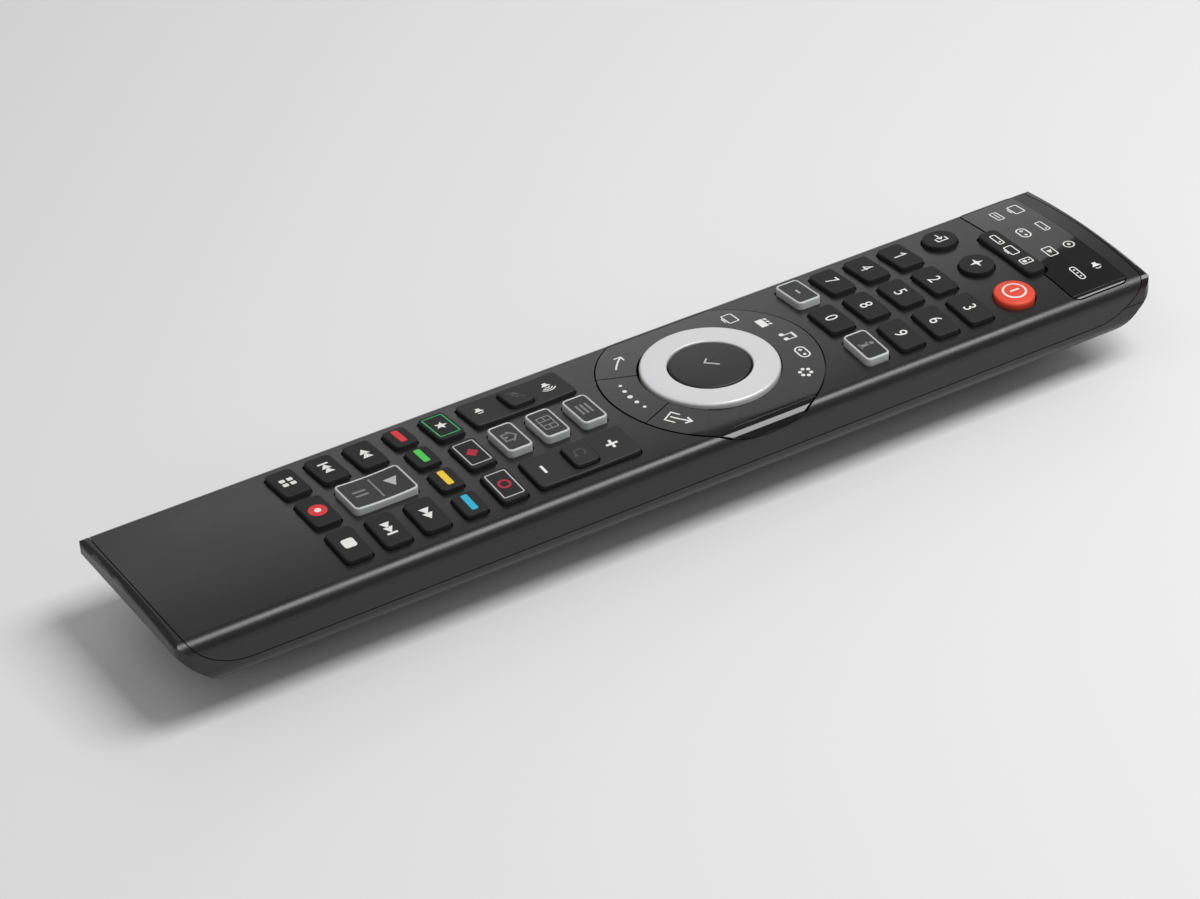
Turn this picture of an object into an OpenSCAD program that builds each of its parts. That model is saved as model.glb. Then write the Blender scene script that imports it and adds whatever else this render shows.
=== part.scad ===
// Universal remote control: a slim hand control with a crowned face and a boat-shaped underside.
// The origin is on the table under the middle of the body. +Y points to the infrared end,
// +X to the right-hand key column and +Z up. All sizes are in millimetres.

/* [Key grid] */
// Distance between key columns
col_pitch = 12.6; // [12.4:0.1:14]
// Distance between key rows
row_pitch = 8.7; // [8.4:0.1:10]
// Width of a standard key
key_w = 10; // [8:0.1:10.4]
// Length of a standard key
key_l = 6; // [5:0.1:6.4]
// Corner radius of the keys, seen from above
key_corner = 1; // [0.5:0.1:1.5]
// Bevel round the top of each key
key_bevel = 0.4; // [0.2:0.1:0.6]
// Height of a standard key above the face
key_rise = 1; // [0.6:0.1:1.6]
// Travel of a pressed key
key_travel = 0.6; // [0.4:0.1:0.9]
// Gap between a key and its opening
key_gap = 0.25; // [0.15:0.05:0.35]

/* [Special keys] */
// Height of a silver-framed key above the face
framed_rise = 1.5; // [1:0.1:2]
// Width of the raised silver border
frame_line = 0.55; // [0.3:0.05:0.8]
// Depth of the dark panel inside the border
frame_sink = 0.15; // [0.1:0.05:0.3]
// Amount by which a silver-framed key is smaller than a standard one
framed_trim = 0.3; // [0:0.1:1]
// Length of the play and pause rocker
play_l = 14.3; // [12:0.1:14.5]
// Width of a colour key
colour_w = 7.1; // [5:0.1:7.3]
// Length of a colour key
colour_l = 5.2; // [3.6:0.1:6]
// Distance between colour keys
colour_pitch = 9.4; // [9:0.1:10]
// Width of the small key in the middle of a rocker
mid_w = 7; // [5:0.1:7.5]
// Length of the small key in the middle of a rocker
mid_l = 5.4; // [3.5:0.1:6]
// Height of the small middle key above the face
mid_rise = 1.7; // [1.2:0.1:2.4]
// Radius of the small round keys
round_r = 3.85; // [3:0.05:4.2]
// Radius of the power key
power_r = 4.4; // [3.5:0.1:4.6]
// Height of the power key above the face
power_rise = 1.7; // [1:0.1:2.2]
// Distance of the outer round keys from the middle line
round_pitch = 13.4; // [12:0.1:14]
// Radius of the domed tops of the round keys
key_dome_r = 18; // [10:1:40]
// Width of the devices key
devices_w = 19; // [14:0.5:22]
// Length of the devices key
devices_l = 4.9; // [4:0.1:6]

/* [Control disc] */
// Radius of the glossy disc
disc_r = 23.5; // [22:0.1:25]
// Height of the disc above the face
disc_rise = 0.25; // [0.1:0.05:0.5]
// Depth of the seat that the disc lies in
disc_sink = 0.7; // [0.4:0.1:0.9]
// Height above the widest line of the body where the disc's wrapped edge ends
wrap_lift = 0.9; // [0.6:0.1:1.2]
// Angle down the long edge where the wrapped edge starts to turn
wrap_angle = 50; // [44:1:54]
// Outer radius of the navigation ring
ring_r = 14.55; // [13.5:0.05:15]
// Thickness of the ring at its crest
ring_t = 2; // [1.8:0.1:2.2]
// Height of the ring's crest above the face
ring_rise = 0.8; // [0.5:0.1:1.2]
// Radius of the rounding across the ring
ring_dome_r = 14; // [8:1:30]
// Radius of the middle key
ok_r = 8.5; // [7.5:0.1:9]
// Height of the middle key's crest above the face
ok_rise = 0.9; // [0.5:0.1:1.2]
// Radius of the middle key's dome
ok_dome_r = 60; // [40:5:120]
// Angle from the disc's lower point to the first seams
seam_angle = 24; // [18:1:28]
// Angle from the disc's lower point to the outer seams
wing_angle = 56; // [48:1:58]
// Width of the seams round the disc, its segments and the ring
seam = 0.25; // [0.15:0.05:0.35]
// Width of the outer seams of the back and exit segments
hairline = 0.14; // [0.14:0.01:0.25]
// Tilt of the ring when it is pressed at its rim
ring_tilt = 2.2; // [1.5:0.1:2.5]

/* [Layout along the body] */
// Length of the bare face below the last key row
bare_l = 39; // [34:0.2:60]
// Clear space between the disc and the key rows on both sides of it
disc_space = 3.5; // [2.5:0.1:6]
// From the first digit row to the round keys
round_step = 10.8; // [9.5:0.1:14]
// From the round keys to the devices key
devices_step = 9.1; // [8.5:0.1:12]
// Length by which the devices key reaches into the device plate
devices_reach = 1.3; // [0.5:0.1:2.2]
// Length of the device plate
plate_l = 13.8; // [11:0.1:18]
// From the device plate to the window seam
plate_space = 3.9; // [2.6:0.1:6]
// Depth of the device plate's seat
plate_sink = 0.7; // [0.4:0.1:0.9]
// Height of the device plate above the face
plate_rise = 0.15; // [0.05:0.05:0.4]
// Corner radius of the device plate
plate_corner = 1.6; // [0.8:0.1:3]
// Bare edge on each side of the device plate
plate_inset = 1.8; // [1.4:0.1:4]

/* [Body] */
// From the outer key columns to the side of the body
rim = 5.1; // [4.4:0.1:6]
// Radius of the crown across the face
crown_r = 172; // [140:2:260]
// Radius of the long upper edges
edge_r = 3.2; // [2.8:0.1:4.2]
// Wall thickness of both shells
wall = 1.6; // [1.3:0.1:1.8]
// Depth of the parting line below the crown
part_depth = 8.6; // [8.2:0.1:9.6]
// Gap at the parting line
part_gap = 0.2; // [0.1:0.05:0.3]
// Radius on which the parting line sweeps up at the ends
sweep_r = 15; // [13:0.5:20]
// Width of the strip at both ends of the face
end_strip = 1.6; // [1.5:0.1:3]
// Radius of the shoulders under the parting line
shoulder_r = 4; // [3.7:0.1:5]
// Drop from the parting line to the shoulders
shoulder_drop = 0.5; // [0.3:0.1:1]
// Width of the flat keel that the remote lies on
keel_w = 16; // [12:0.5:18]
// Radius between the keel and the flanks
keel_r = 6; // [4.5:0.1:8]
// Radius of the upswept bows
bow_r = 45; // [38:1:60]
// Depth of the bow tips below the crown
tip_depth = 3.8; // [3.4:0.1:5]
// Radius of the upper edges at both ends
end_r = 1.4; // [0.8:0.1:1.4]
// Corner radius of the body, seen from above
corner_r = 3; // [2:0.1:5]
// Height of the infrared window's foot above the parting line
window_lift = 2; // [1:0.1:3]

/* [Inside] */
// Diameter of a cell
cell_d = 10.5; // [10:0.1:11]
// Length of a cell with its terminal
cell_l = 44.5; // [40:0.5:48]
// Radius of a cell's terminal
terminal_r = 1.9; // [1.5:0.1:2.2]
// Height of a cell's terminal
terminal_h = 1; // [0.6:0.1:1.4]
// Clearance round a cell
cell_gap = 0.2; // [0.1:0.05:0.3]
// Depth of the contact springs
spring_l = 3.5; // [2.5:0.1:5]
// Thickness of the contacts
contact_t = 0.4; // [0.3:0.1:0.6]
// Thickness of the battery bay's walls and roof
bay_wall = 0.8; // [0.6:0.1:1.2]
// Thickness of the battery door
door_t = 1.5; // [1.2:0.1:1.8]
// Gap round the battery door
door_gap = 0.2; // [0.15:0.05:0.3]
// Thickness of the ledge that carries the door
ledge_t = 1.5; // [1.1:0.1:1.6]
// Width of the ledge beside the door
ledge_w = 2; // [1.5:0.1:2.6]
// Drop from the bow tips to the top of the door
door_drop = 5; // [4:0.1:6]
// Spare width of the door over the bay on each side
door_lap = 2; // [1.6:0.1:2.6]
// Space for parts under the board
board_gap = 1.7; // [1.4:0.1:3]
// Thickness of the board
board_t = 1; // [0.8:0.1:1.6]
// Thickness of the key mat
mat_t = 0.9; // [0.6:0.1:1.4]
// Least thickness of a key's flange
flange_t = 0.6; // [0.5:0.1:1]
// Width of a key's flange
flange_w = 0.7; // [0.5:0.1:0.9]
// Clearance above and below a key's flange
slip = 0.1; // [0.05:0.05:0.15]
// Radius of the infrared lamps
lamp_r = 1.5; // [1:0.1:1.6]
// Length of the infrared lamps
lamp_l = 5; // [4:0.1:6]
// Radius of the case screws
screw_r = 1.2; // [1:0.1:1.5]
// Length of the case screws under the head
screw_l = 8; // [6:0.5:10]
// Distance of the case screws from the middle line
screw_x = 8; // [6:0.5:9]
// From the battery bay to the case screws
screw_step = 6; // [5.5:0.5:8]
// Wall of the screw posts
post_wall = 1.9; // [1.5:0.1:2.4]

/* [Hidden] */
$fn = 48;

// Heights, from the keel up
pocket_z = door_t + door_gap;
cell_z = pocket_z + cell_gap + cell_d / 2;
bay_top = cell_z + cell_d / 2 + cell_gap;
board_z = bay_top + bay_wall + board_gap;
mat_z = board_z + board_t;
mat_top = mat_z + mat_t;
key_base = mat_top + key_travel + slip;
flange_x = col_pitch + key_w / 2 + flange_w;
crown_in_r = crown_r - wall - slip;
crown_in_drop = crown_in_r - sqrt(pow(crown_in_r, 2) - pow(flange_x, 2));
body_h = key_base + flange_t + crown_in_drop + slip + wall;

// Lengths by which cutting forms reach past what they cut
over = 10;
past = 1;
high = body_h + over;

// Places along the body, from the disc outwards
disc_to_row = disc_r + disc_space + key_l / 2;
to_plate = disc_to_row + 3 * row_pitch + round_step + devices_step + devices_l / 2 - devices_reach;
to_far_end = to_plate + plate_l + plate_space + end_strip;
to_near_end = disc_to_row + 7 * row_pitch + key_l / 2 + bare_l;
body_l = to_far_end + to_near_end;
half_l = body_l / 2;
disc_y = to_near_end - half_l;
round_y = disc_y + disc_to_row + 3 * row_pitch + round_step;
devices_y = round_y + devices_step;
plate_y = disc_y + to_plate + plate_l / 2;

// Centres of the section's arcs. The arcs meet the flats with a faint crease
crease = 0.03;
half_w = col_pitch + key_w / 2 + rim;
part_z = body_h - part_depth;
crown_c = body_h - crown_r;
edge_x = half_w - edge_r;
edge_z = crown_c + sqrt(pow(crown_r - edge_r, 2) - pow(edge_x, 2));
crown_angle = asin(edge_x / (crown_r - edge_r));
shoulder_c = [half_w - shoulder_r, part_z - shoulder_drop];
keel_c = [keel_w / 2, keel_r];
flank = shoulder_c - keel_c;
flank_angle = atan2(flank.y, flank.x) + asin((keel_r - shoulder_r) / norm(flank));
flank_n = [sin(flank_angle), -cos(flank_angle)];

// The disc's edge as it wraps over the long edges: an arc that meets its circle at wrap_x
wrap_x = edge_x + edge_r * sin(wrap_angle);
wrap_rise = edge_r * cos(wrap_angle) - wrap_lift;
wrap_r = (pow(disc_r, 2) - pow(wrap_x, 2) + pow(wrap_rise, 2)) / (2 * wrap_rise);

// The bows and the sweep of the parting line
tip_z = body_h - tip_depth;
bow_y = half_l - sqrt(pow(bow_r, 2) - pow(bow_r - tip_z, 2));
sweep_y = half_l - end_strip - sqrt(pow(sweep_r, 2) - pow(sweep_r - part_depth, 2));
window_z = part_z + window_lift;

// The battery bay, its door and the screws
cell_x = cell_d / 2 + cell_gap;
bay_half = cell_x + cell_d / 2 + cell_gap;
bay_l = cell_l + spring_l + 2 * contact_t;
bay_y0 = past - bow_y;
bay_y1 = bay_y0 + bay_l;
door_half = bay_half + door_lap;
door_y1 = bay_y1 + ledge_w;
door_top = tip_z - door_drop;
tongue_w = 0.6;
tongue_h = 0.6;
tab_w = 10;
tab_z = door_t - tongue_h - slip;
grip_count = 5;
grip_pitch = 2.4;
grip_w = 1.2;
grip_depth = 0.4;
screw_y = bay_y0 - screw_step;
head_r = 2 * screw_r;
head_h = 1.2 * screw_r;
head_z = pocket_z + 2 * ledge_t + head_h;
post_r = screw_r + post_wall;
slot_w = screw_r / 2;

// The board
board_inset = 2.4;
lamp_space = 4.5;
lamp_x = 6;
chip_w = 10;
small_w = 4;
board_half = half_w - wall - board_inset;
board_y0 = screw_y + post_r + past;
board_y1 = half_l - lamp_l - lamp_space;

// The ring and its carrier
ok_gap = seam + slip;
ring_in = ok_r + ok_gap;
ring_mid = (ring_in + ring_r) / 2;
well_r = ring_r + ok_gap;
carrier_gap = 0.5;
carrier_in = ok_r + flange_w + carrier_gap;
carrier_out = ring_r - 2 * carrier_gap;
tilt_room = carrier_out * sin(ring_tilt) + slip;
carrier_z = mat_top + tilt_room;
ring_z = body_h + ring_rise - ring_t;
carrier_top = ring_z - tilt_room;
ridge_r = 0.4;
carrier_pivot_z = mat_top + slip / 2 + ridge_r;
ring_pivot_z = ring_z - slip / 2 - ridge_r;

// Pins that the rockers turn on
pin_r = 0.25;
pin_reach = 0.5;
pin_z = key_base + pin_r + slip;

// Key rows and columns
function col(i) = (i - 1) * col_pitch;
function digit_y(row) = disc_y + disc_to_row + (3 - row) * row_pitch;
function low_y(row) = disc_y - disc_to_row - row * row_pitch;
function crown_z(x, out = 0) = crown_c + sqrt(pow(crown_r + out, 2) - x * x);

framed_w = key_w - framed_trim;
framed_l = key_l - framed_trim;
rocker_w = key_w - framed_trim;
rocker_l = 2 * row_pitch + key_l;

// Each key: name, middle x, middle y, width, length, rise, colour
PLAIN_KEYS = concat(
  [for (r = [0:2]) for (c = [0:2])
    [str("digit_", 3 * r + c + 1), col(c), digit_y(r), key_w, key_l, key_rise, "#26262a"]],
  [
    ["digit_0", col(1), digit_y(3), key_w, key_l, key_rise, "#26262a"],
    ["devices_key", 0, devices_y, devices_w, devices_l, key_rise, "#26262a"],
    ["app_key_left", col(0), low_y(3), key_w, key_l, key_rise, "#1c1c20"],
    ["app_key_middle", col(1), low_y(3), key_w, key_l, key_rise, "#1c1c20"],
    ["app_key_right", col(2), low_y(3), key_w, key_l, key_rise, "#1c1c20"],
    ["red_key", -1.5 * colour_pitch, low_y(4), colour_w, colour_l, key_rise, "#c0332b"],
    ["green_key", -0.5 * colour_pitch, low_y(4), colour_w, colour_l, key_rise, "#3fa64a"],
    ["yellow_key", 0.5 * colour_pitch, low_y(4), colour_w, colour_l, key_rise, "#e2b13a"],
    ["blue_key", 1.5 * colour_pitch, low_y(4), colour_w, colour_l, key_rise, "#3a9fd0"],
    ["rewind_key", col(0), low_y(5), key_w, key_l, key_rise, "#26262a"],
    ["forward_key", col(2), low_y(5), key_w, key_l, key_rise, "#26262a"],
    ["previous_key", col(0), low_y(6), key_w, key_l, key_rise, "#26262a"],
    ["next_key", col(2), low_y(6), key_w, key_l, key_rise, "#26262a"],
    ["apps_key", col(0), low_y(7), key_w, key_l, key_rise, "#26262a"],
    ["record_key", col(1), low_y(7), key_w, key_l, key_rise, "#26262a"],
    ["stop_key", col(2), low_y(7), key_w, key_l, key_rise, "#26262a"]
  ]
);
FRAMED_KEYS = [
  ["dash_key", col(0), digit_y(3), framed_w, framed_l, framed_rise, "silver"],
  ["info_key", col(2), digit_y(3), framed_w, framed_l, framed_rise, "silver"],
  ["menu_key", col(1), low_y(0), framed_w, framed_l, framed_rise, "silver"],
  ["guide_key", col(1), low_y(1), framed_w, framed_l, framed_rise, "silver"],
  ["home_key", col(1), low_y(2), framed_w, framed_l, framed_rise, "silver"]
];
ROCKERS = [
  ["volume_rocker", col(0), low_y(1), rocker_w, rocker_l, key_rise, "#26262a"],
  ["channel_rocker", col(2), low_y(1), rocker_w, rocker_l, key_rise, "#26262a"]
];
MID_KEYS = [
  ["mute_key", col(0), low_y(1), mid_w, mid_l, mid_rise, "#1c1c20"],
  ["recall_key", col(2), low_y(1), mid_w, mid_l, mid_rise, "#1c1c20"]
];
PLAY_KEY = ["play_pause_rocker", col(1), (low_y(5) + low_y(6)) / 2, framed_w, play_l, framed_rise, "silver"];
// Each round key: name, middle x, radius, rise, colour
ROUND_KEYS = [
  ["input_key", -round_pitch, round_r, key_rise, "#26262a"],
  ["star_key", 0, round_r, key_rise, "#26262a"],
  ["power_key", round_pitch, power_r, power_rise, "#d8412c"]
];
// Each segment key: name, first and last angle from the disc's lower point
SEGMENT_KEYS = [
  ["back_key", -wing_angle, -seam_angle],
  ["activity_key", -seam_angle, seam_angle],
  ["exit_key", seam_angle, wing_angle]
];

// Outlines

module rounded_rect(w, l, r) {
  square([w, l - 2 * r], center = true);
  square([w - 2 * r, l], center = true);
  for (x = [-1, 1])
    for (y = [-1, 1])
      translate([x * (w / 2 - r), y * (l / 2 - r)])
        circle(r = r);
}

// Part of a flat ring between two angles from the lower point, drawn in by half a gap on each side
module sector(r0, r1, a0, a1, gap) {
  mid = (a0 + a1) / 2;
  half = (a1 - a0) / 2;
  reach = 2 * r1;
  apex = gap / 2 / sin(half);
  intersection() {
    difference() {
      circle(r = r1, $fn = 180);
      circle(r = r0, $fn = 180);
    }
    rotate(mid)
      translate([0, -apex])
        polygon([
          [0, 0],
          [-reach * sin(half), -reach * cos(half)],
          [0, -2 * reach],
          [reach * sin(half), -reach * cos(half)]
        ]);
  }
}

// Cross-section of the body, drawn in by t: keel, flanks, shoulders, sides, edges and crown
module section(t) {
  crown_edge = [0, crown_c] + (crown_r - t) * [sin(crown_angle), cos(crown_angle)];
  right = [
    [keel_c.x, t],
    keel_c + (keel_r - t) * flank_n,
    shoulder_c + (shoulder_r - t) * flank_n,
    [half_w - t, shoulder_c.y],
    [half_w - t, edge_z],
    crown_edge
  ];
  left = [for (i = [len(right) - 1:-1:0]) [-right[i].x, right[i].y]];
  polygon(concat(right, left));
  for (side = [0, 1])
    mirror([side, 0]) {
      translate(keel_c)
        circle(r = keel_r - t - crease);
      translate(shoulder_c)
        circle(r = shoulder_r - t - crease);
      translate([edge_x, edge_z])
        circle(r = max(edge_r - t, 2 * crease) - crease);
    }
  intersection() {
    translate([0, crown_c])
      circle(r = crown_r - t, $fn = 1440);
    translate([-crown_edge.x, edge_z])
      square([2 * crown_edge.x, edge_r + high]);
  }
}

// Side view of the body, drawn in by t: flat keel and two bows
module side_view(t) {
  translate([-bow_y, -past])
    square([2 * bow_y, high]);
  for (end = [0, 1])
    mirror([end, 0])
      intersection() {
        translate([bow_y, bow_r - 5 * crease])
          circle(r = bow_r - t, $fn = 360);
        translate([bow_y - past, 0])
          square([half_l - t - bow_y + past, high]);
      }
}

// Half of the crown cut along its axis, with rounded ends
module crown_view() {
  translate([0, end_r - half_l])
    square([crown_r + past, body_l - 2 * end_r]);
  translate([0, -half_l - past])
    square([crown_r - end_r, body_l + 2 * past]);
  for (end = [-1, 1])
    translate([crown_r - end_r, end * (half_l - end_r)])
      circle(r = end_r + crease);
}

// Plan of the body's four corners, drawn in by t
module corner_view(t) {
  square([2 * (half_w + past), 2 * (half_l - corner_r)], center = true);
  square([2 * (half_w - corner_r), 2 * (half_l + past)], center = true);
  for (x = [-1, 1])
    for (y = [-1, 1])
      translate([x * (half_w - corner_r), y * (half_l - corner_r)])
        circle(r = max(corner_r - t, crease) + crease);
}

// Side view of everything above the parting line, grown by g
module upper_view(g) {
  translate([-sweep_y, part_z - g])
    square([2 * sweep_y, high]);
  for (end = [-1, 1])
    translate([end * sweep_y, part_z + sweep_r])
      circle(r = sweep_r + g - crease, $fn = 180);
}

// Forms that several pieces share

// The section along the whole length
module bar(t) {
  rotate([90, 0, 0])
    linear_extrude(body_l + 2 * over, center = true)
      section(t);
}

// The outer form, drawn in by t
module body(t) {
  intersection() {
    bar(t);
    rotate([90, 0, 90])
      linear_extrude(4 * half_w, center = true)
        side_view(t);
    linear_extrude(2 * high, center = true)
      corner_view(t);
  }
}

// The outer form with its upper ends rounded along the crown
module outer_body() {
  intersection() {
    body(0);
    translate([0, 0, crown_c])
      rotate([90, 0, 0])
        rotate_extrude($fn = 360)
          crown_view();
  }
}

// The room above the parting line, with a step that hides the gap from the inside
module parting_cut() {
  upper_zone(slip / 2);
  difference() {
    upper_zone(part_gap);
    body(wall / 2);
  }
}

module upper_zone(g) {
  rotate([90, 0, 90])
    linear_extrude(4 * half_w, center = true)
      upper_view(g);
}

// The room above the foot of the infrared window
module window_zone(g) {
  translate([-2 * half_w, half_l - 2 * sweep_r, window_z - g])
    cube([4 * half_w, 4 * sweep_r, high]);
}

module disc_zone(g) {
  intersection() {
    translate([0, disc_y, 0])
      cylinder(r = disc_r + g, h = 2 * high, $fn = 180);
    union() {
      translate([0, disc_y, edge_z + wrap_lift + wrap_r])
        rotate([0, 90, 0])
          cylinder(r = wrap_r + g, h = 4 * half_w, center = true, $fn = 180);
      translate([0, disc_y, body_h])
        cube([2 * wrap_x, 4 * disc_r, 2 * part_depth], center = true);
    }
  }
}

module plate_zone(g) {
  translate([0, plate_y, part_z])
    linear_extrude(high)
      rounded_rect(2 * (half_w - plate_inset + g), plate_l + 2 * g, plate_corner + g);
}

module door_zone(g) {
  translate([-door_half - g, -half_l - past, -past])
    cube([2 * (door_half + g), door_y1 + half_l + past + g, door_top + past + g]);
}

// A prism in the place of a key, grown by g
module key_prism(k, g, base) {
  translate([k[1], k[2], base])
    linear_extrude(high)
      rounded_rect(k[3] + 2 * g, k[4] + 2 * g, key_corner + g);
}

module round_prism(k, g, base) {
  translate([k[1], round_y, base])
    cylinder(r = k[2] + g, h = high);
}

// Moves to the face at a place, leaning with the crown
module on_face(x, y, rise) {
  translate([x, y, crown_z(x, rise)])
    rotate([0, asin(x / crown_r), 0])
      children();
}

// Half-space under a bevelled top, in the leaning frame of a key
module bevelled_top(w, l) {
  intersection() {
    rotate([90, 0, 0])
      linear_extrude(2 * l, center = true)
        bevel_view(w);
    rotate([90, 0, 90])
      linear_extrude(2 * w, center = true)
        bevel_view(l);
  }
}

module bevel_view(s) {
  edge = s / 2 + past;
  polygon([
    [-edge, -key_base],
    [edge, -key_base],
    [edge, -key_bevel - past],
    [s / 2 - key_bevel, 0],
    [key_bevel - s / 2, 0],
    [-edge, -key_bevel - past]
  ]);
}

// Key shapes

module key_stem(k) {
  intersection() {
    key_prism(k, 0, key_base);
    on_face(k[1], k[2], k[5])
      bevelled_top(k[3], k[4]);
  }
}

module key_flange(k) {
  intersection() {
    key_prism(k, flange_w, key_base);
    bar(wall + slip);
  }
}

// The shallow panel inside the raised border of a framed key
module frame_panel(k, l, y) {
  on_face(k[1], y, k[5] - frame_sink)
    linear_extrude(past)
      rounded_rect(k[3] - 2 * frame_line, l, key_corner - frame_line / 2);
}

module plain_key(k) {
  color(k[6]) {
    key_stem(k);
    key_flange(k);
  }
}

module framed_key(k) {
  color(k[6])
    difference() {
      union() {
        key_stem(k);
        key_flange(k);
      }
      frame_panel(k, k[4] - 2 * frame_line, k[2]);
    }
}

// A rocker has no flange but a pin on each side, so that its ends can rise
module rocker_pins(k) {
  translate([k[1], k[2], pin_z])
    rotate([0, 90, 0])
      cylinder(r = pin_r, h = k[3] + 2 * pin_reach, center = true);
}

module rocker(k, hole) {
  color(k[6])
    difference() {
      union() {
        key_stem(k);
        rocker_pins(k);
      }
      key_prism(hole, key_gap, 0);
    }
}

module mid_key(k) {
  color(k[6])
    key_stem(k);
}

module play_pause_rocker() {
  k = PLAY_KEY;
  half_panel = (k[4] - 3 * frame_line) / 2;
  color(k[6])
    difference() {
      union() {
        key_stem(k);
        rocker_pins(k);
      }
      for (end = [-1, 1])
        frame_panel(k, half_panel, k[2] + end * (half_panel + frame_line) / 2);
    }
}

module round_key(k) {
  color(k[4]) {
    intersection() {
      round_prism(k, 0, key_base);
      on_face(k[1], round_y, k[3] - key_dome_r)
        sphere(r = key_dome_r, $fn = 180);
    }
    intersection() {
      round_prism(k, flange_w, key_base);
      bar(wall + slip);
    }
  }
}

module segment_key(k) {
  color("#0c0c0e") {
    intersection() {
      bar(-disc_rise);
      translate([0, disc_y, key_base])
        linear_extrude(high)
          sector(well_r + seam, disc_r, k[1], k[2], seam);
    }
    intersection() {
      bar(wall + slip);
      translate([0, disc_y, key_base])
        linear_extrude(high)
          sector(well_r + 2 * seam, disc_r + flange_w, k[1], k[2], 2 * seam);
    }
  }
}

// The ring, its carrier and the middle key turn about the disc's axis

module nav_ring() {
  crest = body_h + ring_rise;
  color("gainsboro")
    translate([0, disc_y, 0])
      rotate_extrude($fn = 120)
        intersection() {
          translate([ring_in, ring_z])
            square([ring_r - ring_in, high]);
          translate([ring_mid, crest - ring_dome_r])
            circle(r = ring_dome_r, $fn = 180);
        }
}

// Collar under the ring: it rocks up and down on its lower ridges, and carries the ring on its upper ones
module nav_carrier() {
  ridge_l = carrier_out - carrier_in - 2 * carrier_gap;
  ridge_x = (carrier_out + carrier_in) / 2;
  color("#202024")
    translate([0, disc_y, 0]) {
      difference() {
        translate([0, 0, carrier_z])
          cylinder(r = carrier_out, h = carrier_top - carrier_z, $fn = 120);
        cylinder(r = carrier_in, h = high, $fn = 120);
      }
      for (side = [-1, 1]) {
        translate([side * ridge_x, 0, carrier_pivot_z])
          rotate([0, 90, 0])
            cylinder(r = ridge_r, h = ridge_l, center = true);
        translate([0, side * ridge_x, ring_pivot_z])
          rotate([90, 0, 0])
            cylinder(r = ridge_r, h = ridge_l, center = true);
      }
    }
}

module ok_key() {
  crest = body_h + ok_rise;
  color("#3a3a3e")
    translate([0, disc_y, 0]) {
      intersection() {
        translate([0, 0, key_base])
          cylinder(r = ok_r, h = high, $fn = 120);
        translate([0, 0, crest - ok_dome_r])
          sphere(r = ok_dome_r, $fn = 360);
      }
      translate([0, 0, key_base])
        cylinder(r = ok_r + flange_w, h = flange_t, $fn = 120);
    }
}

// Covers on the face

module activity_panel() {
  color("#0c0c0e")
    difference() {
      intersection() {
        bar(-disc_rise);
        disc_zone(0);
      }
      bar(disc_sink);
      translate([0, disc_y, 0]) {
        cylinder(r = well_r, h = high, $fn = 120);
        linear_extrude(high)
          sector(well_r - past, disc_r + past, -wing_angle, wing_angle, seam - 2 * hairline);
      }
    }
}

module device_plate() {
  devices = [for (k = PLAIN_KEYS) if (k[0] == "devices_key") k][0];
  color("#0c0c0e")
    difference() {
      intersection() {
        bar(-plate_rise);
        plate_zone(0);
      }
      bar(plate_sink);
      key_prism(devices, 2 * key_gap, 0);
    }
}

module ir_window() {
  color("#1a0d12")
    difference() {
      intersection() {
        outer_body();
        window_zone(0);
      }
      body(wall);
      parting_cut();
    }
}

// Shells

module top_case() {
  color("#1d1d20")
    difference() {
      union() {
        intersection() {
          difference() {
            outer_body();
            body(wall);
          }
          upper_zone(0);
        }
        for (side = [-1, 1])
          screw_post(side);
      }
      difference() {
        disc_zone(seam);
        bar(disc_sink);
      }
      difference() {
        plate_zone(seam);
        bar(plate_sink);
      }
      key_openings();
    }
}

// Post that a case screw bites into, hanging from the face
module screw_post(side) {
  intersection() {
    body(wall / 2);
    translate([side * screw_x, screw_y, head_z + ledge_t + slip])
      difference() {
        cylinder(r = post_r, h = high);
        translate([0, 0, -past])
          cylinder(r = screw_r + slip / 2, h = screw_l + past);
      }
  }
}

module key_openings() {
  for (k = concat(PLAIN_KEYS, FRAMED_KEYS, ROCKERS, [PLAY_KEY]))
    key_prism(k, key_gap, part_z);
  for (k = ROUND_KEYS)
    round_prism(k, key_gap, part_z);
  translate([0, disc_y, part_z]) {
    cylinder(r = well_r, h = high, $fn = 120);
    linear_extrude(high)
      sector(well_r - past, disc_r + seam, -wing_angle, wing_angle, -seam);
  }
}

module bottom_case() {
  color("#17171a")
    difference() {
      union() {
        difference() {
          outer_body();
          body(wall);
        }
        intersection() {
          difference() {
            body(0);
            body(pocket_z + ledge_t);
          }
          door_zone(door_gap + ledge_w);
        }
        bay_block();
        for (side = [-1, 1])
          screw_seat(side);
      }
      parting_cut();
      window_zone(part_gap);
      door_pocket();
      bay_room();
      for (side = [-1, 1])
        translate([side * screw_x, screw_y, -past]) {
          cylinder(r = screw_r + door_gap, h = high);
          cylinder(r = head_r + door_gap, h = head_z + past);
        }
    }
}

// Walls and roof round the cells
module bay_block() {
  intersection() {
    body(wall / 2);
    translate([-bay_half - bay_wall, bay_y0 - bay_wall, 0])
      cube([2 * (bay_half + bay_wall), bay_l + 2 * bay_wall, bay_top + bay_wall]);
  }
}

module bay_room() {
  translate([-bay_half, bay_y0, -past])
    cube([2 * bay_half, bay_l, bay_top + past]);
}

module screw_seat(side) {
  intersection() {
    body(wall / 2);
    translate([side * screw_x, screw_y, 0])
      cylinder(r = post_r, h = head_z + ledge_t);
  }
}

// Recess that the door slides in, with a groove for its tongues and a slot for its tab
module door_pocket() {
  difference() {
    door_zone(door_gap);
    body(pocket_z);
  }
  for (side = [0, 1])
    mirror([side, 0, 0])
      translate([door_half, -half_l, tongue_z() - door_gap])
        cube([door_gap + tongue_w, half_l + bay_y1, tongue_h + 2 * door_gap]);
  door_tab(door_gap);
}

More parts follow.
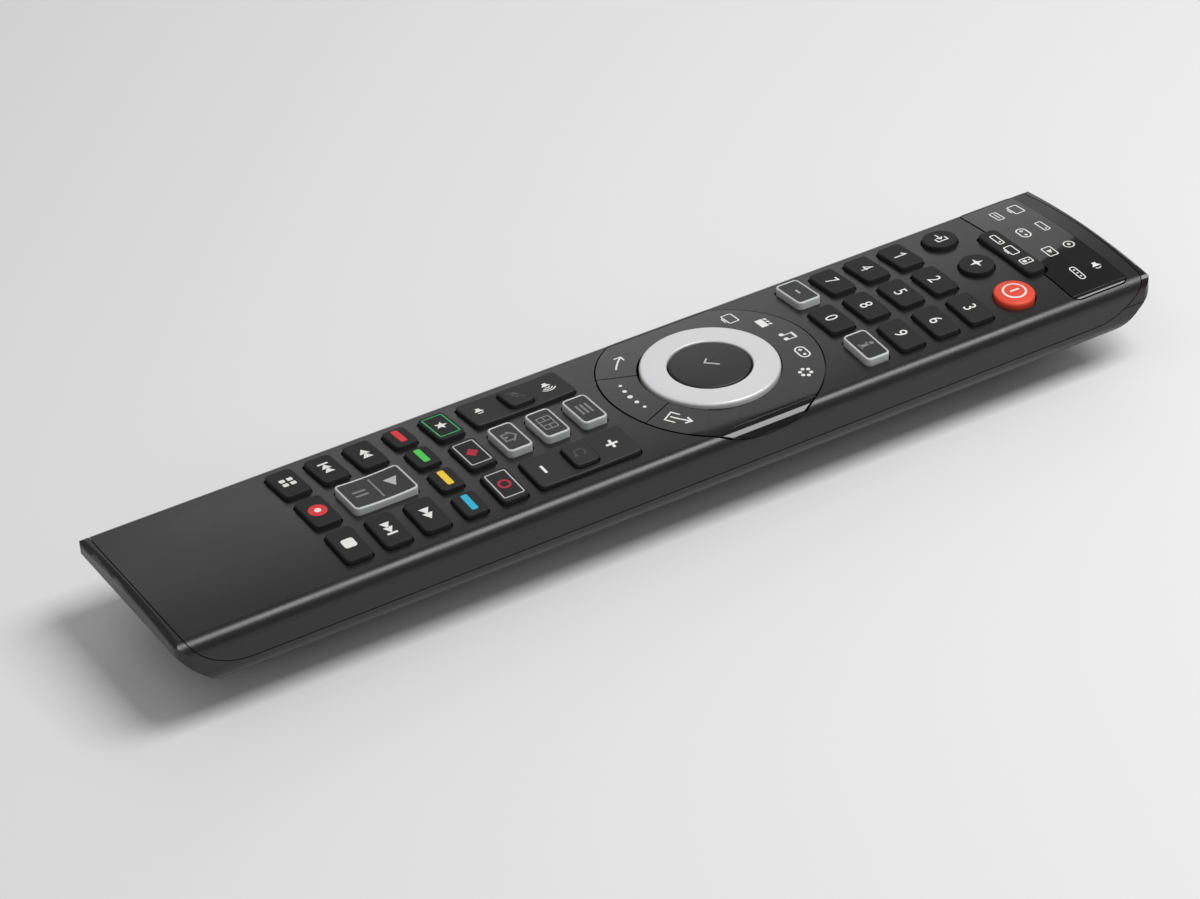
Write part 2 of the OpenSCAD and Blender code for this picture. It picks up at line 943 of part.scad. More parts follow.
// Height of the door's tongues, at the inner corner of its edge
function tongue_z() =
  keel_r - cos(flank_angle) * (keel_r - door_t)
  + (door_half - keel_c.x - sin(flank_angle) * (keel_r - door_t)) * tan(flank_angle) - tongue_h - slip;

module door_tab(g) {
  translate([-tab_w / 2 - g, door_y1 - ledge_w, tab_z - g])
    cube([tab_w + 2 * g, 2 * ledge_w - tongue_w + g, tongue_h + 2 * g]);
}

module battery_door() {
  color("#19191c") {
    difference() {
      intersection() {
        difference() {
          body(0);
          body(door_t);
        }
        door_zone(0);
      }
      upper_zone(part_gap);
      for (i = [0:grip_count - 1])
        translate([-door_half / 2, screw_y - i * grip_pitch, -past])
          cube([door_half, grip_w, past + grip_depth + grip_rise(i)]);
    }
    for (side = [0, 1])
      mirror([side, 0, 0])
        translate([door_half - tongue_w / 2, bay_y0 + ledge_w, tongue_z()])
          cube([1.5 * tongue_w, bay_l - 3 * ledge_w, tongue_h]);
    door_tab(0);
  }
}

// Height of the bow at a finger groove
function grip_rise(i) =
  bow_r - sqrt(pow(bow_r, 2) - pow(max(0, -screw_y + (i - 0.5) * grip_pitch - bow_y), 2));

// Inside pieces

module circuit_board() {
  color("#1f6b3a")
    translate([-board_half, board_y0, board_z])
      cube([2 * board_half, board_y1 - board_y0, board_t]);
}

module key_mat() {
  color("#4a4a4e")
    translate([-board_half, low_y(7) - key_l, mat_z])
      cube([2 * board_half, devices_y + devices_l + key_l - low_y(7), mat_t]);
}

// Controller, resonator and two capacitors on the underside of the board
module board_parts() {
  part_h = board_gap - wall / 2;
  color("#303034")
    for (p = [[0, 2, chip_w], [2, 1, small_w], [2, 3, small_w], [-2, 3, small_w]])
      translate([p[0] * small_w, digit_y(p[1]), board_z - part_h])
        linear_extrude(part_h)
          square(p[2], center = true);
}

// Two infrared lamps that point through the window
module ir_lamps() {
  color("#d8d8e4")
    for (side = [-1, 1])
      translate([side * lamp_x, board_y1, board_z + board_t / 2])
        rotate([-90, 0, 0]) {
          cylinder(r = lamp_r, h = lamp_l - lamp_r);
          translate([0, 0, lamp_l - lamp_r])
            sphere(r = lamp_r);
        }
}

// One cell; the terminal points along +Y
module cell() {
  rotate([-90, 0, 0]) {
    cylinder(r = cell_d / 2, h = cell_l - terminal_h);
    cylinder(r = terminal_r, h = cell_l);
  }
}

module left_cell() {
  color("#b0842c")
    translate([-cell_x, bay_y0 + contact_t + spring_l, cell_z])
      cell();
}

module right_cell() {
  color("#b0842c")
    translate([cell_x, bay_y1 - contact_t - spring_l, cell_z])
      rotate(180)
        cell();
}

// A contact plate at each end of each cell, with a bent leaf behind the flat end of the cell
module battery_contacts() {
  plate = cell_d - 2 * contact_t;
  color("silver")
    for (turn = [0, 180])
      translate([0, (bay_y0 + bay_y1) / 2, cell_z])
        rotate(turn) {
          translate([-cell_x - plate / 2, -bay_l / 2, -plate / 2])
            cube([plate, contact_t, plate]);
          translate([-cell_x - plate / 2, bay_l / 2 - contact_t, -plate / 2])
            cube([plate, contact_t, plate]);
          translate([-cell_x - plate / 4, -bay_l / 2, 0])
            rotate([90, 0, 90])
              linear_extrude(plate / 2)
                polygon([
                  [0, plate / 2],
                  [contact_t, plate / 2],
                  [contact_t + spring_l, 0],
                  [contact_t, -plate / 2],
                  [0, -plate / 2],
                  [0, contact_t - plate / 2],
                  [spring_l, 0],
                  [0, plate / 2 - contact_t]
                ]);
        }
}

// Two screws that hold the shells together, with their heads under the door
module case_screws() {
  color("dimgray")
    for (side = [-1, 1])
      translate([side * screw_x, screw_y, head_z - head_h]) {
        difference() {
          cylinder(r = head_r, h = head_h);
          cube([slot_w, 3 * screw_r, head_h], center = true);
          cube([3 * screw_r, slot_w, head_h], center = true);
        }
        translate([0, 0, head_h])
          cylinder(r = screw_r, h = screw_l);
      }
}

top_case();
bottom_case();
battery_door();
ir_window();
device_plate();
activity_panel();
key_mat();
circuit_board();
board_parts();
ir_lamps();
nav_carrier();
nav_ring();
ok_key();
left_cell();
right_cell();
battery_contacts();
case_screws();
play_pause_rocker();
for (k = PLAIN_KEYS) plain_key(k);
for (k = FRAMED_KEYS) framed_key(k);
for (i = [0, 1]) rocker(ROCKERS[i], MID_KEYS[i]);
for (k = MID_KEYS) mid_key(k);
for (k = ROUND_KEYS) round_key(k);
for (k = SEGMENT_KEYS) segment_key(k);
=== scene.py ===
# %% [markdown]
# # A universal remote control
# The remote lies face up on a pale table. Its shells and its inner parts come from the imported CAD
# frame and only need finishes. Its keys are small mouldings with printed marks, so each is built again
# here, with rounded edges, in the place of its CAD key. The polished disc and plate are copies of
# their CAD meshes with broken edges, because a sharp edge would catch no light.

# %% Load the frame
import math

import bmesh
import bpy
from mathutils import Matrix, Vector


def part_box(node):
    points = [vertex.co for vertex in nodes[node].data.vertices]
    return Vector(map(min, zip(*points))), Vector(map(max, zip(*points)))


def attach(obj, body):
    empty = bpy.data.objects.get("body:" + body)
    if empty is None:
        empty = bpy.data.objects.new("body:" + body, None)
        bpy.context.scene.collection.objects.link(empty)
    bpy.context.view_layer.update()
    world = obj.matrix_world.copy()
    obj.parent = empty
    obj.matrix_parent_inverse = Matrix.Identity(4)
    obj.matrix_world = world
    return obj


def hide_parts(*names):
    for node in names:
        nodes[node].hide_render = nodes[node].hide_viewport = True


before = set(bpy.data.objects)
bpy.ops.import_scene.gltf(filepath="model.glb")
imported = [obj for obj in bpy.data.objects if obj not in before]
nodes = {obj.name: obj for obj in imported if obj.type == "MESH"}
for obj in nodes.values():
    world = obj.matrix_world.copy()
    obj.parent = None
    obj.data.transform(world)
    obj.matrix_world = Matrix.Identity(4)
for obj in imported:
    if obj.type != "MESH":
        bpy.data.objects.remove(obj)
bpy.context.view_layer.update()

# %% [markdown]
# ## Sizes
# The frame is in metres, but a remote is easier to think of in millimetres, so every size below is
# in millimetres and is scaled once, when a mesh is made. The face is a very flat crown: part of a
# large cylinder that lies along the body. Rays could measure its height on the CAD mesh, but one
# formula is exact, and it also gives the height of all that stands a little above the face.

# %% The crowned face
MM = 0.001
CROWN_R = 172.0
face_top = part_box("top_case")[1].z / MM


def face_z(x, rise):
    """Height at x of a surface that lies a little above the crowned face."""
    return face_top - CROWN_R + math.sqrt((CROWN_R + rise) ** 2 - x * x)


def middle(node):
    """Middle of a CAD node seen from above, and its width and length."""
    low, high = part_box(node)
    x, y = (low.x + high.x) / 2 / MM, (low.y + high.y) / 2 / MM
    return x, y, (high.x - low.x) / MM, (high.y - low.y) / MM


def key_place(node, rise):
    """A key's own frame: its top is z = 0, and it leans with the crown."""
    x, y, _, _ = middle(node)
    lean = Matrix.Rotation(math.asin(x / CROWN_R), 4, "Y")
    return Matrix.Translation((x, y, face_z(x, rise))) @ lean


disc_x, disc_y, _, _ = middle("nav_ring")
print("face top:", round(face_top, 3), "disc middle:", round(disc_y, 3))

# %% [markdown]
# ## Writing shaders as sums
# A finish is mostly arithmetic on a few noises. Wiring Math nodes by hand hides that arithmetic, so
# a small class wraps one socket and lets Python's own signs add the nodes. Every other node comes
# from one method, which takes the node's kind, its settings and the values or links of its sockets.

# %% A socket with operators
# A Mix node has sockets of the same name for each kind of value. These are the places of the colours.
MIX_A, MIX_B, MIX_OUT = 6, 7, 2


class Flow:
    """One output socket of a material, usable in Python expressions."""

    def __init__(self, tree, socket=None):
        self.tree, self.socket = tree, socket

    def node(self, kind, settings, sockets, out=0):
        """Adds a node: first its settings, then the values or links of its sockets."""
        made = self.tree.nodes.new("ShaderNode" + kind)
        for name, value in settings.items():
            setattr(made, name, value)
        for name, value in sockets.items():
            if isinstance(value, Flow):
                self.tree.links.new(value.socket, made.inputs[name])
            else:
                made.inputs[name].default_value = value
        return Flow(self.tree, made.outputs[out])

    def sum(self, sign, a, b):
        return self.node("Math", {"operation": sign}, {0: a, 1: b})

    def __add__(self, other):
        return self.sum("ADD", self, other)

    def __sub__(self, other):
        return self.sum("SUBTRACT", self, other)

    def __mul__(self, other):
        return self.sum("MULTIPLY", self, other)

    def __rsub__(self, other):
        return self.sum("SUBTRACT", other, self)

    __radd__ = __add__
    __rmul__ = __mul__

    def clamp(self, low, high):
        """The value brought from low..high to 0..1."""
        return self.node("MapRange", {}, {"Value": self, "From Min": low, "From Max": high})

    def noise(self, place, size, detail, rough=0.5):
        """A noise whose lumps are about size millimetres wide."""
        settings = {"noise_dimensions": "3D"}
        sockets = {"Vector": place, "Scale": 1 / (size * MM), "Detail": detail, "Roughness": rough}
        return self.node("TexNoise", settings, sockets)

    def mix(self, share, a, b):
        """A colour between a and b, each given as red, green and blue."""
        sockets = {"Factor": share, MIX_A: (*a, 1.0), MIX_B: (*b, 1.0)}
        return self.node("Mix", {"data_type": "RGBA"}, sockets, MIX_OUT)

    def bump(self, height, strength, depth):
        """A normal that is bent by a height, whose full range is depth millimetres."""
        return self.node("Bump", {}, {"Strength": strength, "Distance": depth * MM, "Height": height})


def new_finish(name):
    """A material with its shader node, a start for expressions and the place on the object."""
    material = bpy.data.materials.new(name)
    material.use_nodes = True
    shader = material.node_tree.nodes["Principled BSDF"]
    start = Flow(material.node_tree)
    return material, shader, start, start.node("TexCoord", {}, {}, "Object")


def feed(shader, **inputs):
    """Links an expression, or sets a plain value, on the shader's sockets."""
    for name, value in inputs.items():
        socket = shader.inputs[name.replace("_", " ")]
        if isinstance(value, Flow):
            value.tree.links.new(value.socket, socket)
        else:
            socket.default_value = value


print("shader helper ready")

# %% [markdown]
# ## Moulded plastic and rubber
# The two shells are moulded black plastic with a fine spark-eroded texture, which breaks up
# reflections into a soft sheen, and the keys are matt silicone. A photo texture could show that
# grain, but it would blur from near by. Bump from a very fine noise stays sharp, and a wider noise
# changes the sheen a little, as handling does.

# %% Moulded plastic
CLOUD_SIZE, CLOUD_SHEEN = 14.0, 0.12
SPECK_SIZE, SPECK_SHEEN = 2.6, 0.1
GRAIN_STRENGTH = 0.35


def moulded(name, dark, light, rough, grain, depth):
    """Textured plastic or rubber: two close tones, uneven sheen and a fine grain."""
    material, shader, start, place = new_finish(name)
    cloud = start.noise(place, CLOUD_SIZE, 3.0)
    fine = start.noise(place, grain, 3.0, 0.6)
    speck = start.noise(place, grain * SPECK_SIZE, 2.0)
    feed(shader, Base_Color=start.mix(cloud * 0.5 + fine * 0.5, dark, light))
    feed(shader, Roughness=rough + (cloud - 0.5) * CLOUD_SHEEN + (speck - 0.5) * SPECK_SHEEN)
    feed(shader, Normal=start.bump(fine * 0.6 + speck * 0.4, GRAIN_STRENGTH, depth))
    return material


case_satin = moulded("case_satin", (0.008, 0.008, 0.0081), (0.012, 0.012, 0.0121), 0.31, 0.22, 0.012)
key_silicone = moulded("key_silicone", (0.006, 0.006, 0.006), (0.01, 0.0098, 0.0096), 0.76, 0.16, 0.012)
rocker_silicone = moulded("rocker_silicone", (0.01, 0.01, 0.01), (0.016, 0.0158, 0.0155), 0.6, 0.16, 0.012)
ok_plastic = moulded("ok_plastic", (0.012, 0.012, 0.0125), (0.018, 0.018, 0.0185), 0.45, 0.2, 0.008)
panel_dark = moulded("panel_dark", (0.012, 0.012, 0.0125), (0.019, 0.019, 0.0195), 0.45, 0.25, 0.006)
power_silicone = moulded("power_silicone", (0.66, 0.045, 0.018), (0.78, 0.07, 0.028), 0.5, 0.16, 0.01)
mat_rubber = moulded("mat_rubber", (0.07, 0.07, 0.075), (0.1, 0.1, 0.105), 0.75, 0.3, 0.02)
chip_epoxy = moulded("chip_epoxy", (0.012, 0.012, 0.013), (0.022, 0.022, 0.023), 0.6, 0.2, 0.01)
print("moulded finishes made")

# %% [markdown]
# ## Polished black
# The control disc, its three segments and the device plate are polished. A plain glossy shader would
# look like glass, because such a surface is never quite even: faint smears from fingers dull it here
# and there, dust lies on it, and a long, low ripple from the mould bends its reflections.

# %% Polished plastic
SMEAR_SIZE, SMEAR_SHEEN = 6.0, 0.04
DUST_SIZE, DUST_SHEEN = 0.35, 0.15
RIPPLE_SIZE, RIPPLE_STRENGTH, RIPPLE_DEPTH = 18.0, 0.08, 0.05


def polished(name, dark, light, rough):
    """Smooth plastic with smears, dust and a faint ripple."""
    material, shader, start, place = new_finish(name)
    smear = start.noise(place, SMEAR_SIZE, 4.0, 0.6).clamp(0.45, 0.75)
    dust = start.noise(place, DUST_SIZE, 2.0).clamp(0.68, 0.74)
    feed(shader, Base_Color=start.mix(smear * 0.7 + dust * 0.3, dark, light))
    feed(shader, Roughness=rough + smear * SMEAR_SHEEN + dust * DUST_SHEEN)
    ripple = start.noise(place, RIPPLE_SIZE, 1.0)
    feed(shader, Normal=start.bump(ripple, RIPPLE_STRENGTH, RIPPLE_DEPTH))
    return material


gloss_black = polished("gloss_black", (0.004, 0.004, 0.0045), (0.008, 0.008, 0.009), 0.035)
window_tint = polished("window_tint", (0.009, 0.006, 0.007), (0.014, 0.009, 0.010), 0.16)
lamp_resin = polished("lamp_resin", (0.55, 0.55, 0.62), (0.65, 0.65, 0.7), 0.1)
print("polished finishes made")

# %% [markdown]
# ## Silver paint and metal
# The ring and the framed keys are sprayed with silver paint. A metallic shader alone would look like
# polished steel. Paint flakes lie at slightly different angles, so a fine noise changes both tone
# and sheen. The contacts and screws are steel with the same kind of grain.

# %% Silver paint and steel
PAINT_CLOUD = 9.0
FLAKE_SHEEN, PAINT_SHEEN = 0.16, 0.08
FLAKE_STRENGTH, FLAKE_DEPTH = 0.2, 0.006


def flaked(name, dark, light, metal, rough, flake):
    """Paint, metal or film with flakes of a given size."""
    material, shader, start, place = new_finish(name)
    grain = start.noise(place, flake, 2.0, 0.7)
    cloud = start.noise(place, PAINT_CLOUD, 2.0)
    feed(shader, Base_Color=start.mix(grain * 0.7 + cloud * 0.3, dark, light), Metallic=metal)
    feed(shader, Roughness=rough + (grain - 0.5) * FLAKE_SHEEN + (cloud - 0.5) * PAINT_SHEEN)
    feed(shader, Normal=start.bump(grain, FLAKE_STRENGTH, FLAKE_DEPTH))
    return material


ring_silver = flaked("ring_silver", (0.62, 0.62, 0.63), (0.74, 0.74, 0.745), 0.25, 0.42, 0.12)
key_silver = flaked("key_silver", (0.48, 0.485, 0.49), (0.60, 0.605, 0.61), 0.1, 0.52, 0.12)
steel = flaked("steel", (0.5, 0.5, 0.5), (0.66, 0.66, 0.66), 1.0, 0.3, 0.3)
cell_film = flaked("cell_film", (0.34, 0.2, 0.05), (0.46, 0.28, 0.07), 0.5, 0.32, 0.4)
board_mask = flaked("board_mask", (0.012, 0.1, 0.04), (0.022, 0.15, 0.06), 0.0, 0.35, 0.8)
print("silver and metal finishes made")

# %% [markdown]
# ## Printing ink
# Marks are pad-printed: a thin film of ink with a slightly uneven cover. An image could hold them, but
# it would need a flat map of each key. Here they are thin meshes that lie on the surface, so they stay
# sharp from near by.

# %% Inks
COVER_SIZE, THIN = 0.3, 0.86
INK_ROUGH, INK_SHEEN, INK_GLINT = 0.7, 0.12, 0.3
INK_STRENGTH, INK_DEPTH = 0.2, 0.005


def ink(name, colour):
    """A matt film that is a little darker where its cover is thin."""
    material, shader, start, place = new_finish(name)
    cover = start.noise(place, COVER_SIZE, 3.0, 0.6).clamp(0.25, 0.6)
    thin = [share * THIN for share in colour]
    feed(shader, Base_Color=start.mix(cover, thin, colour), Roughness=INK_ROUGH - cover * INK_SHEEN)
    feed(shader, Specular_IOR_Level=INK_GLINT)
    feed(shader, Normal=start.bump(cover, INK_STRENGTH, INK_DEPTH))
    return material


white_ink = ink("white_ink", (0.80, 0.80, 0.78))
silver_ink = ink("silver_ink", (0.46, 0.46, 0.47))
grey_ink = ink("grey_ink", (0.21, 0.21, 0.212))
dim_ink = ink("dim_ink", (0.075, 0.075, 0.077))
red_ink = ink("red_ink", (0.72, 0.04, 0.045))
crimson_ink = ink("crimson_ink", (0.42, 0.02, 0.04))
green_ink = ink("green_ink", (0.075, 0.58, 0.09))
yellow_ink = ink("yellow_ink", (0.88, 0.58, 0.04))
blue_ink = ink("blue_ink", (0.025, 0.43, 0.64))
frame_green = ink("frame_green", (0.03, 0.42, 0.13))
print("inks made")

# %% [markdown]
# ## Lines and outlines
# Every key, border and printed sign starts as a flat outline. Blender's curve objects could draw it,
# but plain lists of points are easier to measure and to join. A rounded rectangle is four arcs, and a
# quarter-round edge is a list of insets and heights, so that one outline can climb over the edge.

# %% Lines and outlines
LINE_STEP = 0.6


def finely(line, closed):
    """The same line with points at most a step apart, so that it can follow a curved surface."""
    fine = []
    for (x0, y0), (x1, y1) in zip(line, line[1:] + line[:1] if closed else line[1:]):
        cuts = max(1, math.ceil(math.hypot(x1 - x0, y1 - y0) / LINE_STEP))
        fine += [(x0 + (x1 - x0) * k / cuts, y0 + (y1 - y0) * k / cuts) for k in range(cuts)]
    return fine if closed else fine + [line[-1]]


def point_at(r, angle, x=0.0, y=0.0):
    """The point of a circle at an angle in degrees."""
    turn = math.radians(angle)
    return x + r * math.cos(turn), y + r * math.sin(turn)


def arc(x, y, r, a0, a1, steps):
    """Points on an arc, from angle a0 to a1 in degrees."""
    return [point_at(r, a0 + (a1 - a0) * i / steps, x, y) for i in range(steps + 1)]


def circle(x, y, r, steps):
    """Points all round a circle."""
    return arc(x, y, r, 0, 360, steps)[:-1]


def star_outline(tips, r_out, r_in, first):
    """A star's tips and notches in turn, from the angle of its first tip."""
    step = 180 / tips
    return [point_at(r_in if k % 2 else r_out, first + step * k) for k in range(2 * tips)]


def rounded(w, l, r, steps=3, cuts=0):
    """Outline of a rounded rectangle, anticlockwise, with extra points along its sides."""
    corners = [(1, -1, -90), (1, 1, 0), (-1, 1, 90), (-1, -1, 180)]
    turns = [arc(sx * (w / 2 - r), sy * (l / 2 - r), r, a, a + 90, steps) for sx, sy, a in corners]
    shares = [k / (cuts + 1) for k in range(1, cuts + 1)]
    outline = []
    for turn, after in zip(turns, turns[1:] + turns[:1]):
        (x0, y0), (x1, y1) = turn[-1], after[0]
        outline += turn + [(x0 + (x1 - x0) * f, y0 + (y1 - y0) * f) for f in shares]
    return outline


def edge_steps(radius, steps=5):
    """Inset and height along a quarter-round edge that ends in a flat top."""
    turn = [math.pi / 2 * i / steps for i in range(steps + 1)]
    return [(radius * (1 - math.cos(a)), radius * (math.sin(a) - 1)) for a in turn]


print("outline helpers ready")

# %% [markdown]
# ## Building meshes from rings
# A key is a stack of rounded rectangles: straight sides, a quarter-round edge, then a flat top. A
# cube with a bevel would come close, but a stack of rings with the same number of points joins up
# into clean four-sided faces and can follow a hollow top. Marks are strokes of constant width,
# filled outlines and discs, all laid on a surface that is given by its height.

# %% A moulding
PRINT = 0.02
MITRE = 0.5
END_STEPS = 8


class Moulding:
    """Collects points and faces of one piece, in millimetres."""

    def __init__(self, lift=lambda x, y: PRINT):
        self.points, self.faces, self.tones = [], [], []
        self.lift = lift

    def add(self, points, faces, tone):
        start = len(self.points)
        self.points += points
        self.faces += [[start + i for i in face] for face in faces]
        self.tones += [tone] * len(faces)

    def rings(self, loops, tone=0, cap=True):
        """Joins rings of points from the foot up, and closes the last one."""
        n = len(loops[0])
        points = [p for loop in loops for p in loop]
        faces = [
            [k * n + i, k * n + (i + 1) % n, (k + 1) * n + (i + 1) % n, (k + 1) * n + i]
            for k in range(len(loops) - 1)
            for i in range(n)
        ]
        if cap:
            faces.append([(len(loops) - 1) * n + i for i in range(n)])
        self.add(points, faces, tone)

    def fill(self, outline, tone=0):
        self.add([(x, y, self.lift(x, y)) for x, y in outline], [list(range(len(outline)))], tone)

    def stroke(self, line, width, tone=0, closed=False):
        """A band of constant width along a line, with round ends unless it is closed."""
        line = finely(line, closed)
        n, h = len(line), width / 2
        left, right = [], []
        for i, (x, y) in enumerate(line):
            before = line[i - 1] if i or closed else None
            after = line[(i + 1) % n] if i < n - 1 or closed else None
            ways = [Vector(b) - Vector(a) for a, b in ((before, (x, y)), ((x, y), after)) if a and b]
            normals = [Vector((-w.y, w.x)).normalized() for w in ways]
            normal = sum(normals, Vector((0, 0))).normalized()
            reach = h / max(MITRE, normal.dot(normals[0]))
            left.append((x + normal.x * reach, y + normal.y * reach))
            right.append((x - normal.x * reach, y - normal.y * reach))
        points = [(px, py, self.lift(px, py)) for px, py in left + right]
        spans = range(n if closed else n - 1)
        self.add(points, [[n + i, n + (i + 1) % n, (i + 1) % n, i] for i in spans], tone)
        if not closed:
            for end, other in ((line[0], line[1]), (line[-1], line[-2])):
                self.round_end(end, other, h, tone)

    def round_end(self, end, other, h, tone):
        """Half a disc at the end of a stroke that comes from another point."""
        way = math.atan2(end[1] - other[1], end[0] - other[0])
        turn = [way - math.pi / 2 + math.pi * k / END_STEPS for k in range(END_STEPS + 1)]
        self.fill([(end[0] + h * math.cos(a), end[1] + h * math.sin(a)) for a in turn], tone)

    def disc(self, x, y, r, tone=0, steps=32):
        self.fill(circle(x, y, r, steps), tone)

    def make(self, name, place, finishes, body, slot, replaces=None):
        """Turns the collected points into an object that rides on a body."""
        mesh = bpy.data.meshes.new(name)
        points = [tuple(MM * c for c in place @ Vector(p)) for p in self.points]
        mesh.from_pydata(points, [], self.faces)
        for finish in finishes:
            mesh.materials.append(finish)
        mesh.polygons.foreach_set("material_index", self.tones)
        mesh.polygons.foreach_set("use_smooth", [True] * len(self.faces))
        mesh.update()
        piece = bpy.data.objects.new(name, mesh)
        bpy.context.scene.collection.objects.link(piece)
        even_normals(piece)
        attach(piece, body)
        if replaces:
            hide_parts(replaces)


def even_normals(piece):
    """Keeps flat faces flat in the light, although they are shaded smooth."""
    sheen = piece.modifiers.new("even_normals", "WEIGHTED_NORMAL")
    sheen.keep_sharp = True


print("moulding helper ready")

# %% [markdown]
# ## Soft keys
# A silicone key has straight sides that come up through the face, a tight round edge and a flat
# top. The CAD key has the flange that holds it behind the face; here the foot only has to go well
# below the face, so that no gap shows when the key stands in its opening.

# %% A keycap
FOOT, SIDE, TOP = -3.2, 0.5, 0.2
CORNER, LEAST_CORNER, CORNER_STEPS = 1.15, 0.15, 6
FLANGE = 0.7
KEY_RISE, KEY_EDGE = 1.0, 0.34


def ring_of(w, l, r, inset, z, cuts=0):
    """A rounded rectangle at a height, drawn in by an inset."""
    outline = rounded(w - 2 * inset, l - 2 * inset, max(LEAST_CORNER, r - inset), CORNER_STEPS, cuts)
    return [(x, y, z) for x, y in outline]


def keycap(shape, w, l, corner=CORNER, edge=KEY_EDGE):
    """Sides, edge and flat top of a key."""
    steps = [(0.0, FOOT), (0.0, -edge - SIDE)] + edge_steps(edge) + [(edge + TOP, 0.0)]
    shape.rings([ring_of(w, l, corner, inset, z) for inset, z in steps])


def key_size(node):
    """Width and length of a key's cap, without the flange round its CAD foot."""
    _, _, w, l = middle(node)
    return w - 2 * FLANGE, l - 2 * FLANGE


def fit_cap(shape, node, rise, finishes, slot="key_rubber"):
    """Sets a cap on its key's body, in the place of the CAD key."""
    shape.make(node + "_cap", key_place(node, rise), finishes, node, slot, node)


print("standard key:", [round(v, 2) for v in key_size("digit_5")])

# %% [markdown]
# ## Digits
# Ten keys carry printed digits. They could be drawn as strokes, but Blender's own typeface has well
# shaped digits. The text becomes a flat mesh once, and its points join the key's mesh, a hair above
# the top. The one is drawn as a stroke, because the real one has no foot.

# %% Printed digits
DIGIT_HEIGHT, DIGIT_NARROW, DIGIT_LINE = 2.9, 0.9, 0.4
ONE = [(-0.62, 0.72), (0.2, 1.3), (0.2, -1.4)]


def glyph(shape, text):
    """Lays a digit flat on the surface, in the middle of the key."""
    curve = bpy.data.curves.new("numeral", "FONT")
    curve.body = text
    curve.resolution_u = 6
    holder = bpy.data.objects.new("numeral", curve)
    mesh = holder.to_mesh()
    xs = [v.co.x for v in mesh.vertices]
    ys = [v.co.y for v in mesh.vertices]
    scale = DIGIT_HEIGHT / (max(ys) - min(ys))
    cx, cy = (max(xs) + min(xs)) / 2, (max(ys) + min(ys)) / 2
    flat = [((v.co.x - cx) * scale * DIGIT_NARROW, (v.co.y - cy) * scale) for v in mesh.vertices]
    faces = [list(face.vertices) for face in mesh.polygons]
    shape.add([(x, y, shape.lift(x, y)) for x, y in flat], faces, 1)
    holder.to_mesh_clear()
    bpy.data.objects.remove(holder)
    bpy.data.curves.remove(curve)


for digit in "1234567890":
    node = "digit_" + digit
    cap = Moulding()
    keycap(cap, *key_size(node))
    if digit == "1":
        cap.stroke(ONE, DIGIT_LINE, 1)
    else:
        glyph(cap, digit)
    fit_cap(cap, node, KEY_RISE, [key_silicone, white_ink])
print("digit keys made")

# %% [markdown]
# ## Transport and colour keys
# These keys have the same cap with simple printed signs: filled arrows, bars, a square and a dot.
# Each sign is a short function that draws on a cap, so that a table can pair keys, signs and inks and
# one loop can make them all.

# %% Arrows, blocks and signs
ARROW_SLIM = 0.6


def arrow(shape, x, size):
    """A filled triangle; a negative size points left."""
    back, tip, half = x - size / 2, x + size / 2, abs(size) * ARROW_SLIM
    outline = [(back, -half), (tip, 0), (back, half)]
    shape.fill(outline if size > 0 else outline[::-1], 1)


def block(shape, x, y, w, l, r, tone=1):
    """A filled rounded rectangle."""
    shape.fill([(x + px, y + py) for px, py in rounded(w, l, r)], tone)


def rewind_sign(s):
    arrow(s, -0.9, -1.9)
    arrow(s, 0.7, -1.9)


def forward_sign(s):
    arrow(s, -0.7, 1.9)
    arrow(s, 0.9, 1.9)


def previous_sign(s):
    block(s, -1.75, 0, 0.55, 2.3, 0.1)
    arrow(s, -0.6, -1.8)
    arrow(s, 0.9, -1.8)


def next_sign(s):
    arrow(s, -0.9, 1.8)
    arrow(s, 0.6, 1.8)
    block(s, 1.75, 0, 0.55, 2.3, 0.1)


def apps_sign(s):
    for x in (-0.85, 0.85):
        for y in (-0.85, 0.85):
            block(s, x, y, 1.2, 1.2, 0.25)


def record_sign(s):
    s.disc(0, 0, 1.95, 1)
    s.lift = lambda x, y: 2 * PRINT
    s.disc(0, 0, 0.7, 2)


def stop_sign(s):
    block(s, 0, 0, 2.8, 2.7, 0.6)


def bar_sign(s):
    block(s, -0.2, 0, 5.0, 1.45, 0.35)


print("sign helpers ready")

# %% Keys with signs
SIGNS = {
    "rewind_key": (rewind_sign, [white_ink]),
    "forward_key": (forward_sign, [white_ink]),
    "previous_key": (previous_sign, [white_ink]),
    "next_key": (next_sign, [white_ink]),
    "apps_key": (apps_sign, [white_ink]),
    "record_key": (record_sign, [red_ink, white_ink]),
    "stop_key": (stop_sign, [white_ink]),
    "red_key": (bar_sign, [red_ink]),
    "green_key": (bar_sign, [green_ink]),
    "yellow_key": (bar_sign, [yellow_ink]),
    "blue_key": (bar_sign, [blue_ink]),
}
for node, (sign, inks) in SIGNS.items():
    cap = Moulding()
    keycap(cap, *key_size(node))
    sign(cap)
    fit_cap(cap, node, KEY_RISE, [key_silicone] + inks)
print("signed keys made:", len(SIGNS))

# %% [markdown]
# ## Keys for stored channels
# Three keys carry a thin printed frame round a plain emblem: a star, a diamond and a ring. Frame and
# emblem are two inks on the same cap, so each is a tone of one mesh.

# %% Framed prints
FRAME_LINE, FRAME_SIDE, FRAME_END, FRAME_CORNER = 0.3, 1.0, 0.75, 0.35


def star_print(s):
    s.fill(star_outline(5, 1.45, 0.62, 90), 2)


def diamond_print(s):
    s.fill([(0, -1.4), (1.5, 0), (0, 1.4), (-1.5, 0)], 2)


def hoop_print(s):
    s.stroke(circle(0, 0, 1.15, 32), 0.55, 2, closed=True)


